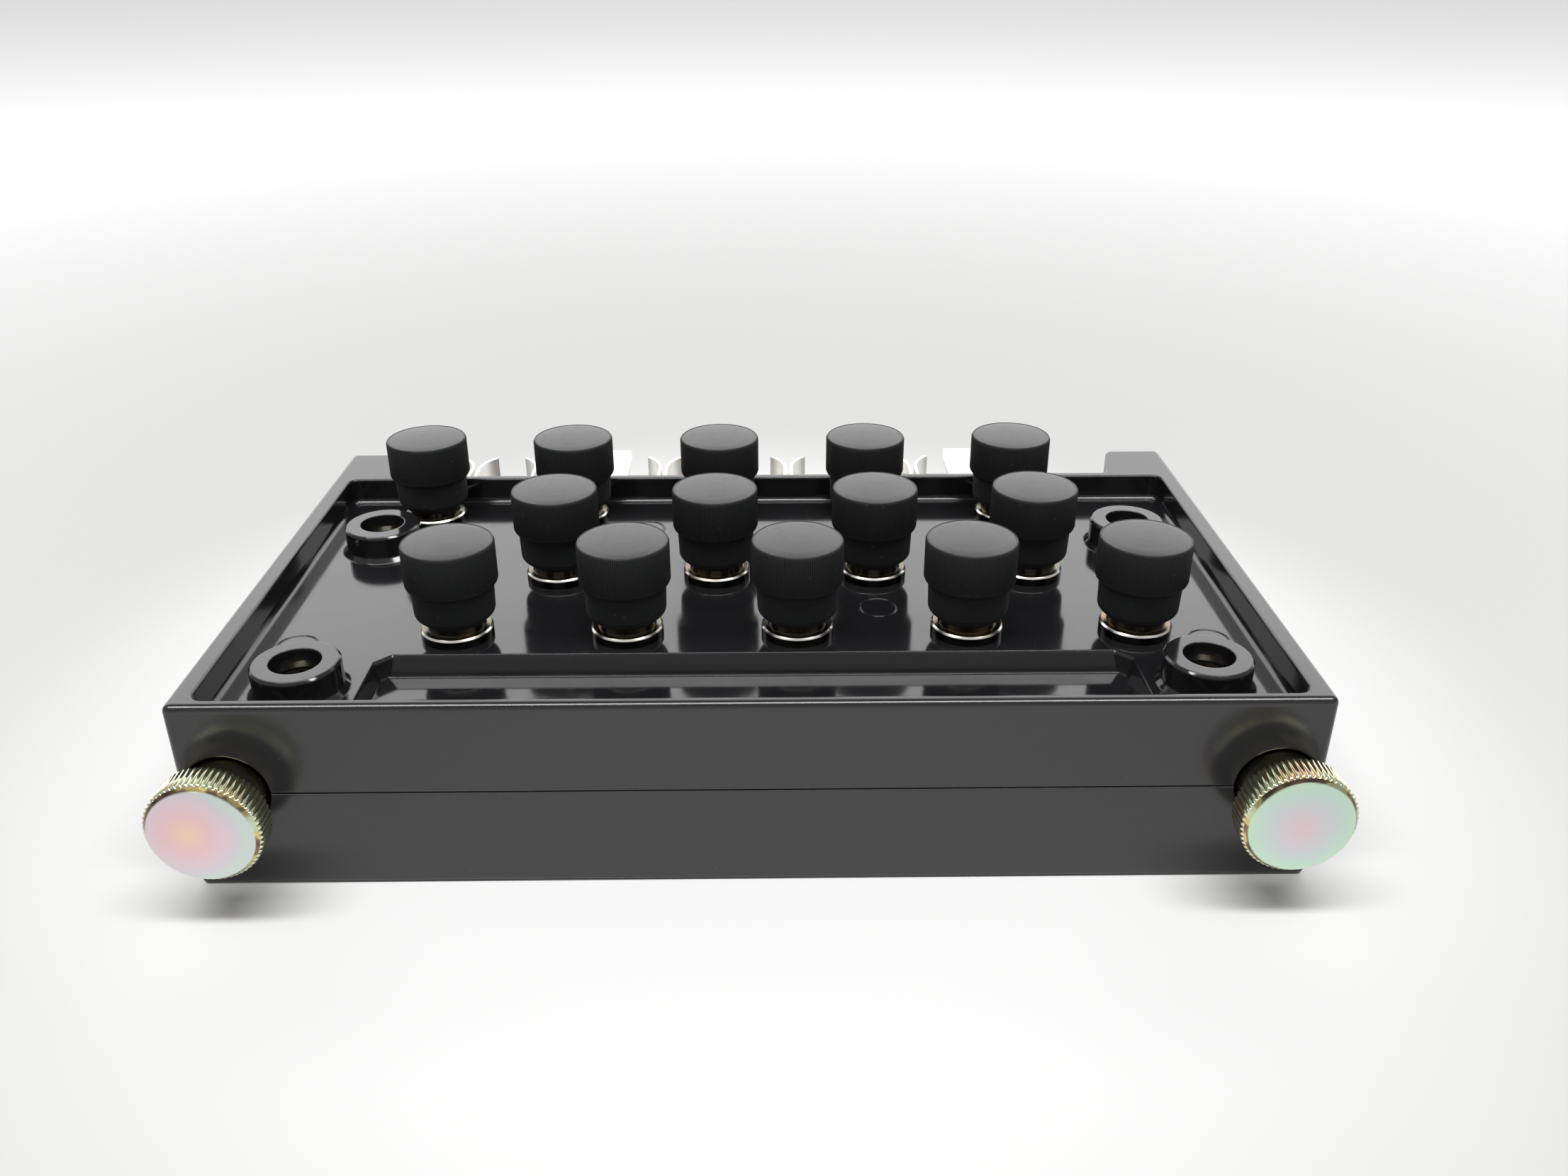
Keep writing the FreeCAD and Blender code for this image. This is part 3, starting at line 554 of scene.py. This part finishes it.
def soften(corners: Sequence[Corner], closed: bool, steps: int = 4) -> Profile:
    """Replace the rounded corners of a profile by short arcs.

    Args:
        corners: The profile's corners in order.
        closed: True when the last corner joins the first.
        steps: How many spans an arc has.

    Returns:
        The finer profile.
    """
    fine: Profile = []
    for number, corner in enumerate(corners):
        here = Vector((corner.radius, corner.height))
        ends = not closed and number in (0, len(corners) - 1)
        if ends or corner.rounding <= 0:
            fine.append((here.x, here.y))
            continue
        after = corners[(number + 1) % len(corners)]
        back = (Vector((corners[number - 1].radius, corners[number - 1].height)) - here)
        ahead = (Vector((after.radius, after.height)) - here)
        half = back.angle(ahead) / 2
        reach = min(corner.rounding / math.tan(half), back.length * 0.48, ahead.length * 0.48)
        start, stop = here + back.normalized() * reach, here + ahead.normalized() * reach
        for step in range(steps + 1):
            share = step / steps
            bend = (start * (1 - share) ** 2 + here * (2 * share * (1 - share))
                    + stop * share ** 2)
            fine.append((bend.x, bend.y))
    return fine


def finished_mesh(name: str, verts: Sequence[Sequence[float]], faces: Sequence[Sequence[int]],
                  sharp: float = 32.0) -> bpy.types.Object:
    """Make a smooth-shaded object whose edges over so many degrees stay sharp."""
    mesh = bpy.data.meshes.new(name)
    mesh.from_pydata(verts, [], faces)
    mesh.validate()
    mesh.shade_smooth()
    mesh.set_sharp_from_angle(angle=math.radians(sharp))
    piece = bpy.data.objects.new(name, mesh)
    bpy.context.scene.collection.objects.link(piece)
    return piece


def spun(name: str, profile: Profile, segments: int, closed: bool = False) -> bpy.types.Object:
    """Turn a profile about the Z axis into a solid.

    Args:
        name: The object's name.
        profile: Points (radius, height), in order with the solid on their left.
        segments: How many facets go round.
        closed: True for a ring, whose last point joins its first.

    Returns:
        The new object.
    """
    verts: list[Vector] = []
    rings: list[list[int]] = []
    for radius, height in profile:
        count = 1 if radius < ON_AXIS else segments
        first = len(verts)
        for turn in range(count):
            angle = math.tau * turn / segments
            verts.append(Vector((radius * math.cos(angle), radius * math.sin(angle), height)))
        rings.append([first + turn % count for turn in range(segments + 1)])
    faces = []
    pairs = list(zip(rings, rings[1:])) + ([(rings[-1], rings[0])] if closed else [])
    for lower, upper in pairs:
        for turn in range(segments):
            face = (lower[turn], lower[turn + 1], upper[turn + 1], upper[turn])
            faces.append(tuple(dict.fromkeys(face)))
    return finished_mesh(name, verts, faces)


@dataclass(frozen=True)
class Rib:
    """One rib of a knurl, on the +X side of the origin and running along Z.

    section holds (sideways, radius) points; stations hold (height, greatest radius).
    """

    section: tuple[tuple[float, float], ...]
    stations: tuple[tuple[float, float], ...]

    def build(self, name: str) -> bpy.types.Object:
        """Loft the section through the stations."""
        verts = [(min(radius, most), side, height)
                 for height, most in self.stations for side, radius in self.section]
        wide = len(self.section)
        faces = [tuple(reversed(range(wide))),
                 tuple(range(len(verts) - wide, len(verts)))]
        for row in range(len(self.stations) - 1):
            for column in range(wide):
                here, beside = row * wide + column, row * wide + (column + 1) % wide
                faces.append((here, beside, beside + wide, here + wide))
        return finished_mesh(name, verts, faces, sharp=40.0)


class Recipe:
    """A Geometry Nodes group with named inputs, applied once to give a plain mesh."""

    def __init__(self, name: str, inputs: dict[str, str]) -> None:
        """Start a group.

        Args:
            name: The group's name.
            inputs: The socket type of each named input.
        """
        self.tree = bpy.data.node_groups.new(name, "GeometryNodeTree")
        self.tree.interface.new_socket("Geometry", in_out="OUTPUT",
                                       socket_type="NodeSocketGeometry")
        for label, kind in inputs.items():
            self.tree.interface.new_socket(label, in_out="INPUT", socket_type=kind)
        self.given = self.tree.nodes.new("NodeGroupInput").outputs

    def node(self, kind: str, settings: Optional[dict] = None,
             feeds: Optional[dict[Union[str, int], object]] = None) -> bpy.types.Node:
        """Add a node, set it up and feed its inputs by name or number."""
        node = self.tree.nodes.new(kind)
        for name, value in (settings or {}).items():
            setattr(node, name, value)
        for name, value in (feeds or {}).items():
            if isinstance(value, bpy.types.NodeSocket):
                self.tree.links.new(value, node.inputs[name])
            else:
                node.inputs[name].default_value = value
        return node

    def shape(self, source: bpy.types.NodeSocket) -> bpy.types.NodeSocket:
        """The geometry of an object input."""
        return self.node("GeometryNodeObjectInfo", {"transform_space": "ORIGINAL"},
                         {"Object": source}).outputs["Geometry"]

    def finish(self, geometry: bpy.types.NodeSocket, finish: bpy.types.NodeSocket) -> None:
        """End the group with real geometry in one material."""
        real = self.node("GeometryNodeRealizeInstances", {}, {0: geometry})
        painted = self.node("GeometryNodeSetMaterial", {},
                            {"Geometry": real.outputs[0], "Material": finish})
        end = self.tree.nodes.new("NodeGroupOutput")
        self.tree.links.new(painted.outputs[0], end.inputs[0])

    def bake(self, name: str, **values: object) -> bpy.types.Object:
        """Apply the group.

        Args:
            name: The new object's name.
            **values: A value for each named input.

        Returns:
            A plain mesh object, with no modifier.
        """
        host = bpy.data.objects.new(name + "_host", bpy.data.meshes.new(name + "_host"))
        bpy.context.scene.collection.objects.link(host)
        modifier = host.modifiers.new("recipe", "NODES")
        modifier.node_group = self.tree
        for item in self.tree.interface.items_tree:
            if item.in_out == "INPUT":
                modifier[item.identifier] = values[item.name]
        host.update_tag()
        bpy.context.view_layer.update()
        graph = bpy.context.evaluated_depsgraph_get()
        mesh = bpy.data.meshes.new_from_object(host.evaluated_get(graph), depsgraph=graph)
        mesh.name = name
        bpy.data.objects.remove(host)
        piece = bpy.data.objects.new(name, mesh)
        bpy.context.scene.collection.objects.link(piece)
        return piece


def knurl_recipe() -> Recipe:
    """A turned core with ribs set evenly round it, then tilted and moved into place."""
    recipe = Recipe("knurled", {"Core": "NodeSocketObject", "Rib": "NodeSocketObject",
                                "Count": "NodeSocketInt", "Tilt": "NodeSocketVector",
                                "Centre": "NodeSocketVector", "Finish": "NodeSocketMaterial"})
    spots = recipe.node("GeometryNodePoints", {}, {"Count": recipe.given["Count"]})
    index = recipe.node("GeometryNodeInputIndex")
    step = recipe.node("ShaderNodeMath", {"operation": "DIVIDE"},
                       {0: math.tau, 1: recipe.given["Count"]})
    angle = recipe.node("ShaderNodeMath", {"operation": "MULTIPLY"},
                        {0: index.outputs[0], 1: step.outputs[0]})
    turn = recipe.node("ShaderNodeCombineXYZ", {}, {"Z": angle.outputs[0]})
    ribs = recipe.node("GeometryNodeInstanceOnPoints", {},
                       {"Points": spots.outputs[0], "Rotation": turn.outputs[0],
                        "Instance": recipe.shape(recipe.given["Rib"])})
    joined = recipe.node("GeometryNodeJoinGeometry")
    recipe.tree.links.new(ribs.outputs[0], joined.inputs[0])
    recipe.tree.links.new(recipe.shape(recipe.given["Core"]), joined.inputs[0])
    placed = recipe.node("GeometryNodeTransform", {},
                         {"Geometry": joined.outputs[0], "Rotation": recipe.given["Tilt"],
                          "Translation": recipe.given["Centre"]})
    recipe.finish(placed.outputs[0], recipe.given["Finish"])
    return recipe


def scatter_recipe() -> Recipe:
    """One shape at every vertex of another."""
    recipe = Recipe("scattered", {"Places": "NodeSocketObject", "Shape": "NodeSocketObject",
                                  "Finish": "NodeSocketMaterial"})
    copies = recipe.node("GeometryNodeInstanceOnPoints", {},
                         {"Points": recipe.shape(recipe.given["Places"]),
                          "Instance": recipe.shape(recipe.given["Shape"])})
    recipe.finish(copies.outputs[0], recipe.given["Finish"])
    return recipe


def discard(*tools: bpy.types.Object) -> None:
    """Remove the shapes that a recipe was fed."""
    for tool in tools:
        bpy.data.objects.remove(tool)


# ---------------------------------------------------------------------------------------
# The plug's sub-assemblies
# ---------------------------------------------------------------------------------------


@dataclass(frozen=True)
class Kit:
    """The materials and recipes that the sub-assemblies share."""

    paints: dict[str, bpy.types.Material]
    knurl: Recipe
    scatter: Recipe


@dataclass
class Assembly:
    """A group of pieces that is built and then dressed."""

    kit: Kit
    made: int = 0
    dressed: int = 0

    def build(self) -> None:
        """Model the pieces that the CAD nodes only outline."""

    def dress(self) -> None:
        """Give the CAD nodes of this group their materials."""

    def paint(self, paint: str, *nodes: str) -> None:
        """Put one material on CAD nodes."""
        for node in nodes:
            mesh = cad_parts[node].data
            mesh.materials.clear()
            mesh.materials.append(self.kit.paints[paint])
            self.dressed += 1

    def enlist(self, piece: bpy.types.Object, body: str, slot: str, *nodes: str) -> None:
        """Hand a new piece to a body, a slot and the CAD nodes that it stands for."""
        if not piece.data.materials:
            piece.data.materials.append(self.kit.paints[slot])
        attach(piece, body)
        if nodes:
            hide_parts(*nodes)
        self.made += 1
        LOG.info("  %s: %d faces on %s", piece.name, len(piece.data.polygons), body)

    def run(self) -> None:
        """Build and dress, and say what was done."""
        LOG.info("%s", type(self).__name__)
        self.build()
        self.dress()
        LOG.info("  made %d, dressed %d", self.made, self.dressed)


def middle(node: str) -> Vector:
    """The middle of a CAD node's box."""
    low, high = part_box(node)
    return (low + high) / 2


@dataclass
class Housing(Assembly):
    """The two moulded halves and what clamps them."""

    def dress(self) -> None:
        """Black mouldings, plated screws and nuts."""
        self.paint("phenolic", "upper_housing", "lower_housing")
        self.paint("yellow_zinc", "housing_screws", "housing_nuts")
        self.paint("fibre_sheet", "insulating_sheet")


@dataclass
class PostCaps(Assembly):
    """The fourteen moulded caps, each with its threaded insert."""

    count: int = 14
    ribs: int = 140
    core: tuple[Corner, ...] = (
        Corner(4.05 * MM, 29.0 * MM), Corner(5.0 * MM, 29.0 * MM, 0.3 * MM),
        Corner(6.35 * MM, 30.3 * MM, 1.2 * MM), Corner(6.5 * MM, 34.65 * MM, 0.25 * MM),
        Corner(7.17 * MM, 35.5 * MM, 0.25 * MM), Corner(7.17 * MM, 41.95 * MM, 0.12 * MM),
        Corner(6.93 * MM, 42.30 * MM, 0.10 * MM), Corner(5.4 * MM, 42.48 * MM, 9.0 * MM),
        Corner(3.6 * MM, 42.62 * MM, 9.0 * MM), Corner(1.9 * MM, 42.71 * MM, 9.0 * MM),
        Corner(0.0, 42.745 * MM), Corner(0.0, 39.0 * MM), Corner(4.05 * MM, 39.0 * MM))
    rib: Rib = Rib(
        section=((-0.13 * MM, 6.9 * MM), (-0.12 * MM, 7.12 * MM), (-0.04 * MM, 7.27 * MM),
                 (0.04 * MM, 7.27 * MM), (0.12 * MM, 7.12 * MM), (0.13 * MM, 6.9 * MM)),
        stations=((35.6 * MM, 7.12 * MM), (35.8 * MM, 7.28 * MM), (41.95 * MM, 7.28 * MM),
                  (42.24 * MM, 7.12 * MM), (42.36 * MM, 6.95 * MM)))

    def build(self) -> None:
        """Knurl one cap for each post."""
        core = spun("cap_core", soften(self.core, closed=True), 96, closed=True)
        rib = self.rib.build("cap_rib")
        for number in range(1, self.count + 1):
            node = f"cap_{number:02d}"
            centre = middle(node)
            piece = self.kit.knurl.bake(
                f"{node}_knurled", Core=core, Rib=rib, Count=self.ribs, Tilt=(0.0, 0.0, 0.0),
                Centre=(centre.x, centre.y, 0.0), Finish=self.kit.paints["cap_plastic"])
            self.enlist(piece, f"post_cap_{number:02d}", "cap_plastic", node)
        discard(core, rib)

    def dress(self) -> None:
        """Brass inserts."""
        self.paint("brass", *(f"insert_{number:02d}" for number in range(1, self.count + 1)))


@dataclass
class PostHardware(Assembly):
    """Collars on the deck; studs, washers and nuts below it."""

    collar: tuple[Corner, ...] = (
        Corner(2.5 * MM, 26.1 * MM), Corner(5.75 * MM, 26.1 * MM),
        Corner(5.75 * MM, 27.40 * MM, 0.08 * MM), Corner(5.45 * MM, 27.72 * MM, 0.12 * MM),
        Corner(4.6 * MM, 27.75 * MM, 0.10 * MM), Corner(4.6 * MM, 28.95 * MM, 0.15 * MM),
        Corner(2.5 * MM, 28.95 * MM))

    def build(self) -> None:
        """Set a smooth collar round every stud."""
        spots = [middle(f"cap_{number:02d}") for number in range(1, PostCaps.count + 1)]
        places = finished_mesh("places", [(spot.x, spot.y, 0.0) for spot in spots], [])
        shape = spun("collar", soften(self.collar, closed=True), 72, closed=True)
        piece = self.kit.scatter.bake("post_collars_turned", Places=places, Shape=shape,
                                      Finish=self.kit.paints["collar"])
        self.enlist(piece, "housing", "nickel", "post_collars")
        discard(places, shape)

    def dress(self) -> None:
        """Brass studs, steel washers and plated nuts."""
        self.paint("brass", "post_studs")
        self.paint("spring_steel", "post_washers")
        self.paint("nickel", "post_nuts")


@dataclass
class Contacts(Assembly):
    """Straps from the posts, and the rank of spring contacts behind."""

    def dress(self) -> None:
        """Plated contacts on copper straps."""
        self.paint("silver_plate", "jaw_contacts", "blade_contacts")
        self.paint("copper", "link_straps")
        self.paint("nickel", "contact_rivets")


@dataclass
class Thumbscrew(Assembly):
    """One captive thumbscrew and its retaining ring."""

    side: Side = Side.LEFT
    teeth: int = 60
    axis_x: float = 75.8 * MM
    axis_z: float = 16.3 * MM
    shaft: tuple[Corner, ...] = (
        Corner(0.0, -59.9 * MM), Corner(7.3 * MM, -59.9 * MM, 0.10 * MM),
        Corner(7.8 * MM, -59.30 * MM), Corner(7.8 * MM, -54.9 * MM, 0.1 * MM),
        Corner(7.5 * MM, -54.7 * MM, 0.1 * MM), Corner(5.9 * MM, -54.7 * MM, 0.15 * MM),
        Corner(5.9 * MM, -44.0 * MM, 0.2 * MM), Corner(3.9 * MM, -44.0 * MM, 0.2 * MM),
        Corner(3.9 * MM, -32.75 * MM), Corner(3.2 * MM, -32.75 * MM),
        Corner(3.2 * MM, -31.45 * MM), Corner(3.9 * MM, -31.45 * MM),
        Corner(3.9 * MM, 48.3 * MM, 0.4 * MM), Corner(2.4 * MM, 48.5 * MM),
        Corner(2.4 * MM, 50.0 * MM), Corner(0.0, 50.0 * MM))
    tooth: Rib = Rib(
        section=((-0.43 * MM, 7.7 * MM), (-0.41 * MM, 7.80 * MM), (-0.22 * MM, 8.12 * MM),
                 (-0.12 * MM, 8.18 * MM), (0.12 * MM, 8.18 * MM), (0.22 * MM, 8.12 * MM),
                 (0.41 * MM, 7.80 * MM), (0.43 * MM, 7.7 * MM)),
        stations=((-59.32 * MM, 7.76 * MM), (-59.15 * MM, 7.98 * MM), (-58.9 * MM, 8.18 * MM),
                  (-55.1 * MM, 8.18 * MM), (-54.75 * MM, 7.74 * MM)))

    @property
    def centre(self) -> Vector:
        """Where the screw's axis crosses the plane y = 0."""
        return Vector((self.side.value * self.axis_x, 0.0, self.axis_z))

    def build(self) -> None:
        """Turn the shaft, cut its teeth and roll its thread."""
        name = f"thumbscrew_{self.side.word}"
        core = spun("screw_core", soften(self.shaft, closed=False), 120)
        tooth = self.tooth.build("screw_tooth")
        piece = self.kit.knurl.bake(
            f"{name}_knurled", Core=core, Rib=tooth, Count=self.teeth,
            Tilt=(-math.pi / 2, 0.0, 0.0), Centre=tuple(self.centre),
            Finish=self.kit.paints[f"yellow_zinc_{self.side.word}"])
        self.enlist(piece, f"screw_{self.side.word}", "yellow_zinc", name)
        discard(core, tooth)
        thread = self.rolled_thread(f"{name}_thread")
        thread.data.materials.append(self.kit.paints[f"yellow_zinc_{self.side.word}"])
        self.enlist(thread, f"screw_{self.side.word}", "yellow_zinc")

    def rolled_thread(self, name: str) -> bpy.types.Object:
        """Roll a right-hand thread with a chamfered end.

        Args:
            name: The object's name.

        Returns:
            A closed mesh of helical flanks.
        """
        start, end, pitch = 48.6 * MM, 59.9 * MM, 1.0 * MM
        crest, depth, nose = 3.1 * MM, 0.58 * MM, 0.9 * MM
        per_turn, round_about = 10, 48
        rows = int(round((end - start) / pitch * per_turn))
        verts, faces = [], []
        for row in range(rows + 1):
            along = start + (end - start) * row / rows
            most = crest - max(0.0, nose - (end - along))
            for turn in range(round_about):
                angle = math.tau * turn / round_about
                phase = ((along / pitch - turn / round_about) % 1.0) * 2 - 1
                radius = min(crest - depth * min(1.0, max(0.0, (1 - abs(phase)) * 1.25 - 0.1)),
                             most)
                verts.append(self.centre + Vector((radius * math.cos(angle), along,
                                                   -radius * math.sin(angle))))
        for row in range(rows):
            for turn in range(round_about):
                here = row * round_about + turn
                beside = row * round_about + (turn + 1) % round_about
                faces.append((here, beside, beside + round_about, here + round_about))
        faces.append(tuple(reversed(range(round_about))))
        faces.append(tuple(range(len(verts) - round_about, len(verts))))
        return finished_mesh(name, verts, faces, sharp=38.0)

    def dress(self) -> None:
        """A spring-steel ring."""
        self.paint("spring_steel", f"retaining_ring_{self.side.word}")


# ---------------------------------------------------------------------------------------
# Studio
# ---------------------------------------------------------------------------------------


@dataclass(frozen=True)
class SoftBox:
    """A large rectangular lamp aimed at a point."""

    name: str
    place: tuple[float, float, float]
    aim: tuple[float, float, float]
    width: float
    height: float
    radiance: float

    def build(self) -> None:
        """Hang the lamp."""
        light = bpy.data.lights.new(self.name, "AREA")
        light.shape = "RECTANGLE"
        light.size, light.size_y = self.width, self.height
        light.energy = self.radiance * math.pi * self.width * self.height
        lamp = bpy.data.objects.new(self.name, light)
        bpy.context.scene.collection.objects.link(lamp)
        lamp.location = self.place
        direction = Vector(self.aim) - Vector(self.place)
        lamp.rotation_euler = direction.to_track_quat("-Z", "Y").to_euler()


@dataclass(frozen=True)
class Sky:
    """Soft light from all round, with a bright wall behind the plug.

    The wall is dimmer below dim_below and fades out between fade_from and fade_to, which are
    heights of the direction of view.
    """

    base: float = 0.42
    wall: float = 2.2
    low_share: float = 0.6
    dim_below: float = 0.28
    full_above: float = 0.46
    fade_from: float = 0.60
    fade_to: float = 0.80

    def build(self) -> bpy.types.World:
        """Make the world."""
        world = bpy.data.worlds.new("studio")
        world.use_nodes = True
        canvas = Canvas(world.node_tree)
        towards = Wire(canvas, canvas.node("ShaderNodeTexCoord").outputs["Generated"])
        behind = canvas.part(towards, "Y").step(0.35, 0.65)
        height = canvas.part(towards, "Z")
        rising = height.step(self.dim_below, self.full_above) * (1 - self.low_share)
        level = height.step(self.fade_to, self.fade_from) * (rising + self.low_share)
        light = canvas.node("ShaderNodeBackground", {},
                            {"Color": (1.0, 1.0, 1.0),
                             "Strength": behind * level * self.wall + self.base})
        output = canvas.node("ShaderNodeOutputWorld")
        canvas.tree.links.new(light.outputs[0], output.inputs["Surface"])
        return world


@dataclass(frozen=True)
class Studio:
    """The floor, the lamps and the camera, which looks down on the plug from the front."""

    lens: float = 30.29
    eye: tuple[float, float, float] = (2.37 * MM, -206.72 * MM, 128.29 * MM)
    yaw: float = 0.0124
    pitch: float = 0.4688
    roll: float = -0.0008
    sky: Sky = Sky()
    lamps: tuple[SoftBox, ...] = (
        SoftBox("top_box", (0.0, -0.28, 1.18), (0.0, 0.0, 0.0), 1.5, 0.22, 20.0),
    )

    def build(self, paper: bpy.types.Material) -> None:
        """Set the stage round the plug."""
        floor = finished_mesh("floor", [(x, y, 0.0) for x, y in
                                        ((-8, -8), (8, -8), (8, 8), (-8, 8))], [(0, 1, 2, 3)])
        floor.data.materials.append(paper)
        bpy.context.scene.world = self.sky.build()
        for lamp in self.lamps:
            lamp.build()
        self.set_camera()
        bpy.context.scene.view_settings.view_transform = "Standard"

    def set_camera(self) -> None:
        """Stand the camera where the picture was taken from."""
        camera = bpy.data.cameras.new("camera")
        camera.sensor_width, camera.lens = 36.0, self.lens
        camera.clip_start, camera.clip_end = 0.01, 50.0
        stand = bpy.data.objects.new("camera", camera)
        bpy.context.scene.collection.objects.link(stand)
        turn = (Matrix.Rotation(-self.yaw, 4, "Z")
                @ Matrix.Rotation(math.pi / 2 - self.pitch, 4, "X")
                @ Matrix.Rotation(self.roll, 4, "Z"))
        stand.matrix_world = Matrix.Translation(self.eye) @ turn
        bpy.context.scene.camera = stand


FILM_LEFT = ((0.0, (0.90, 0.70, 0.46)), (0.2, (0.88, 0.65, 0.54)), (0.45, (0.85, 0.60, 0.62)),
             (0.72, (0.80, 0.64, 0.69)), (0.90, (0.70, 0.67, 0.71)), (1.0, (0.64, 0.73, 0.68)))
FILM_RIGHT = ((0.0, (0.78, 0.60, 0.63)), (0.3, (0.73, 0.64, 0.68)), (0.55, (0.66, 0.68, 0.69)),
              (0.78, (0.60, 0.75, 0.67)), (1.0, (0.61, 0.80, 0.60)))
FILM_PLAIN = ((0.0, (0.80, 0.70, 0.42)), (0.5, (0.74, 0.68, 0.36)), (1.0, (0.66, 0.70, 0.44)))


def paints() -> dict[str, bpy.types.Material]:
    """Every material, under its slot's name."""
    finishes: dict[str, object] = {
        "phenolic": Moulding(),
        "cap_plastic": CapPlastic(),
        "yellow_zinc": YellowZinc("yellow_zinc", (0.0, 0.0, 0.0), FILM_PLAIN),
        "yellow_zinc_left": YellowZinc("yellow_zinc_left", (-75.8 * MM, 0, 16.3 * MM), FILM_LEFT,
                                       (-77.5 * MM, 0, 16.6 * MM)),
        "yellow_zinc_right": YellowZinc("yellow_zinc_right", (75.8 * MM, 0, 16.3 * MM), FILM_RIGHT,
                                        (75.8 * MM, 0, 16.3 * MM)),
        "nickel": Metal("bright_nickel", (0.72, 0.70, 0.66), (0.60, 0.56, 0.50),
                        (0.42, 0.33, 0.22), 0.12, 200.0),
        "collar": CollarPlate(),
        "brass": Metal("drawn_brass", (0.80, 0.62, 0.33), (0.66, 0.48, 0.24),
                       (0.36, 0.24, 0.12), 0.22, 160.0, (1.0, 1.0, 0.1)),
        "spring_steel": Metal("spring_steel", (0.46, 0.47, 0.49), (0.34, 0.35, 0.37),
                              (0.24, 0.19, 0.15), 0.28, 220.0),
        "copper": Metal("tinned_copper", (0.80, 0.47, 0.34), (0.66, 0.36, 0.24),
                        (0.36, 0.17, 0.11), 0.26, 120.0, (0.1, 1.0, 1.0)),
        "silver_plate": Metal("silver_plate", (0.93, 0.92, 0.88), (0.86, 0.84, 0.78),
                              (0.62, 0.56, 0.38), 0.3, 260.0),
        "fibre_sheet": Fibre(),
        "paper": Paper(),
    }
    return {slot: finish.build() for slot, finish in finishes.items()}


def main() -> None:
    """Build, dress and light the plug."""
    kit = Kit(paints(), knurl_recipe(), scatter_recipe())
    sections: list[Assembly] = [
        Housing(kit), PostHardware(kit), PostCaps(kit), Contacts(kit),
        Thumbscrew(kit, side=Side.LEFT), Thumbscrew(kit, side=Side.RIGHT)]
    for section in sections:
        section.run()
    Studio().build(kit.paints["paper"])


if __name__ == "__main__":
    main()
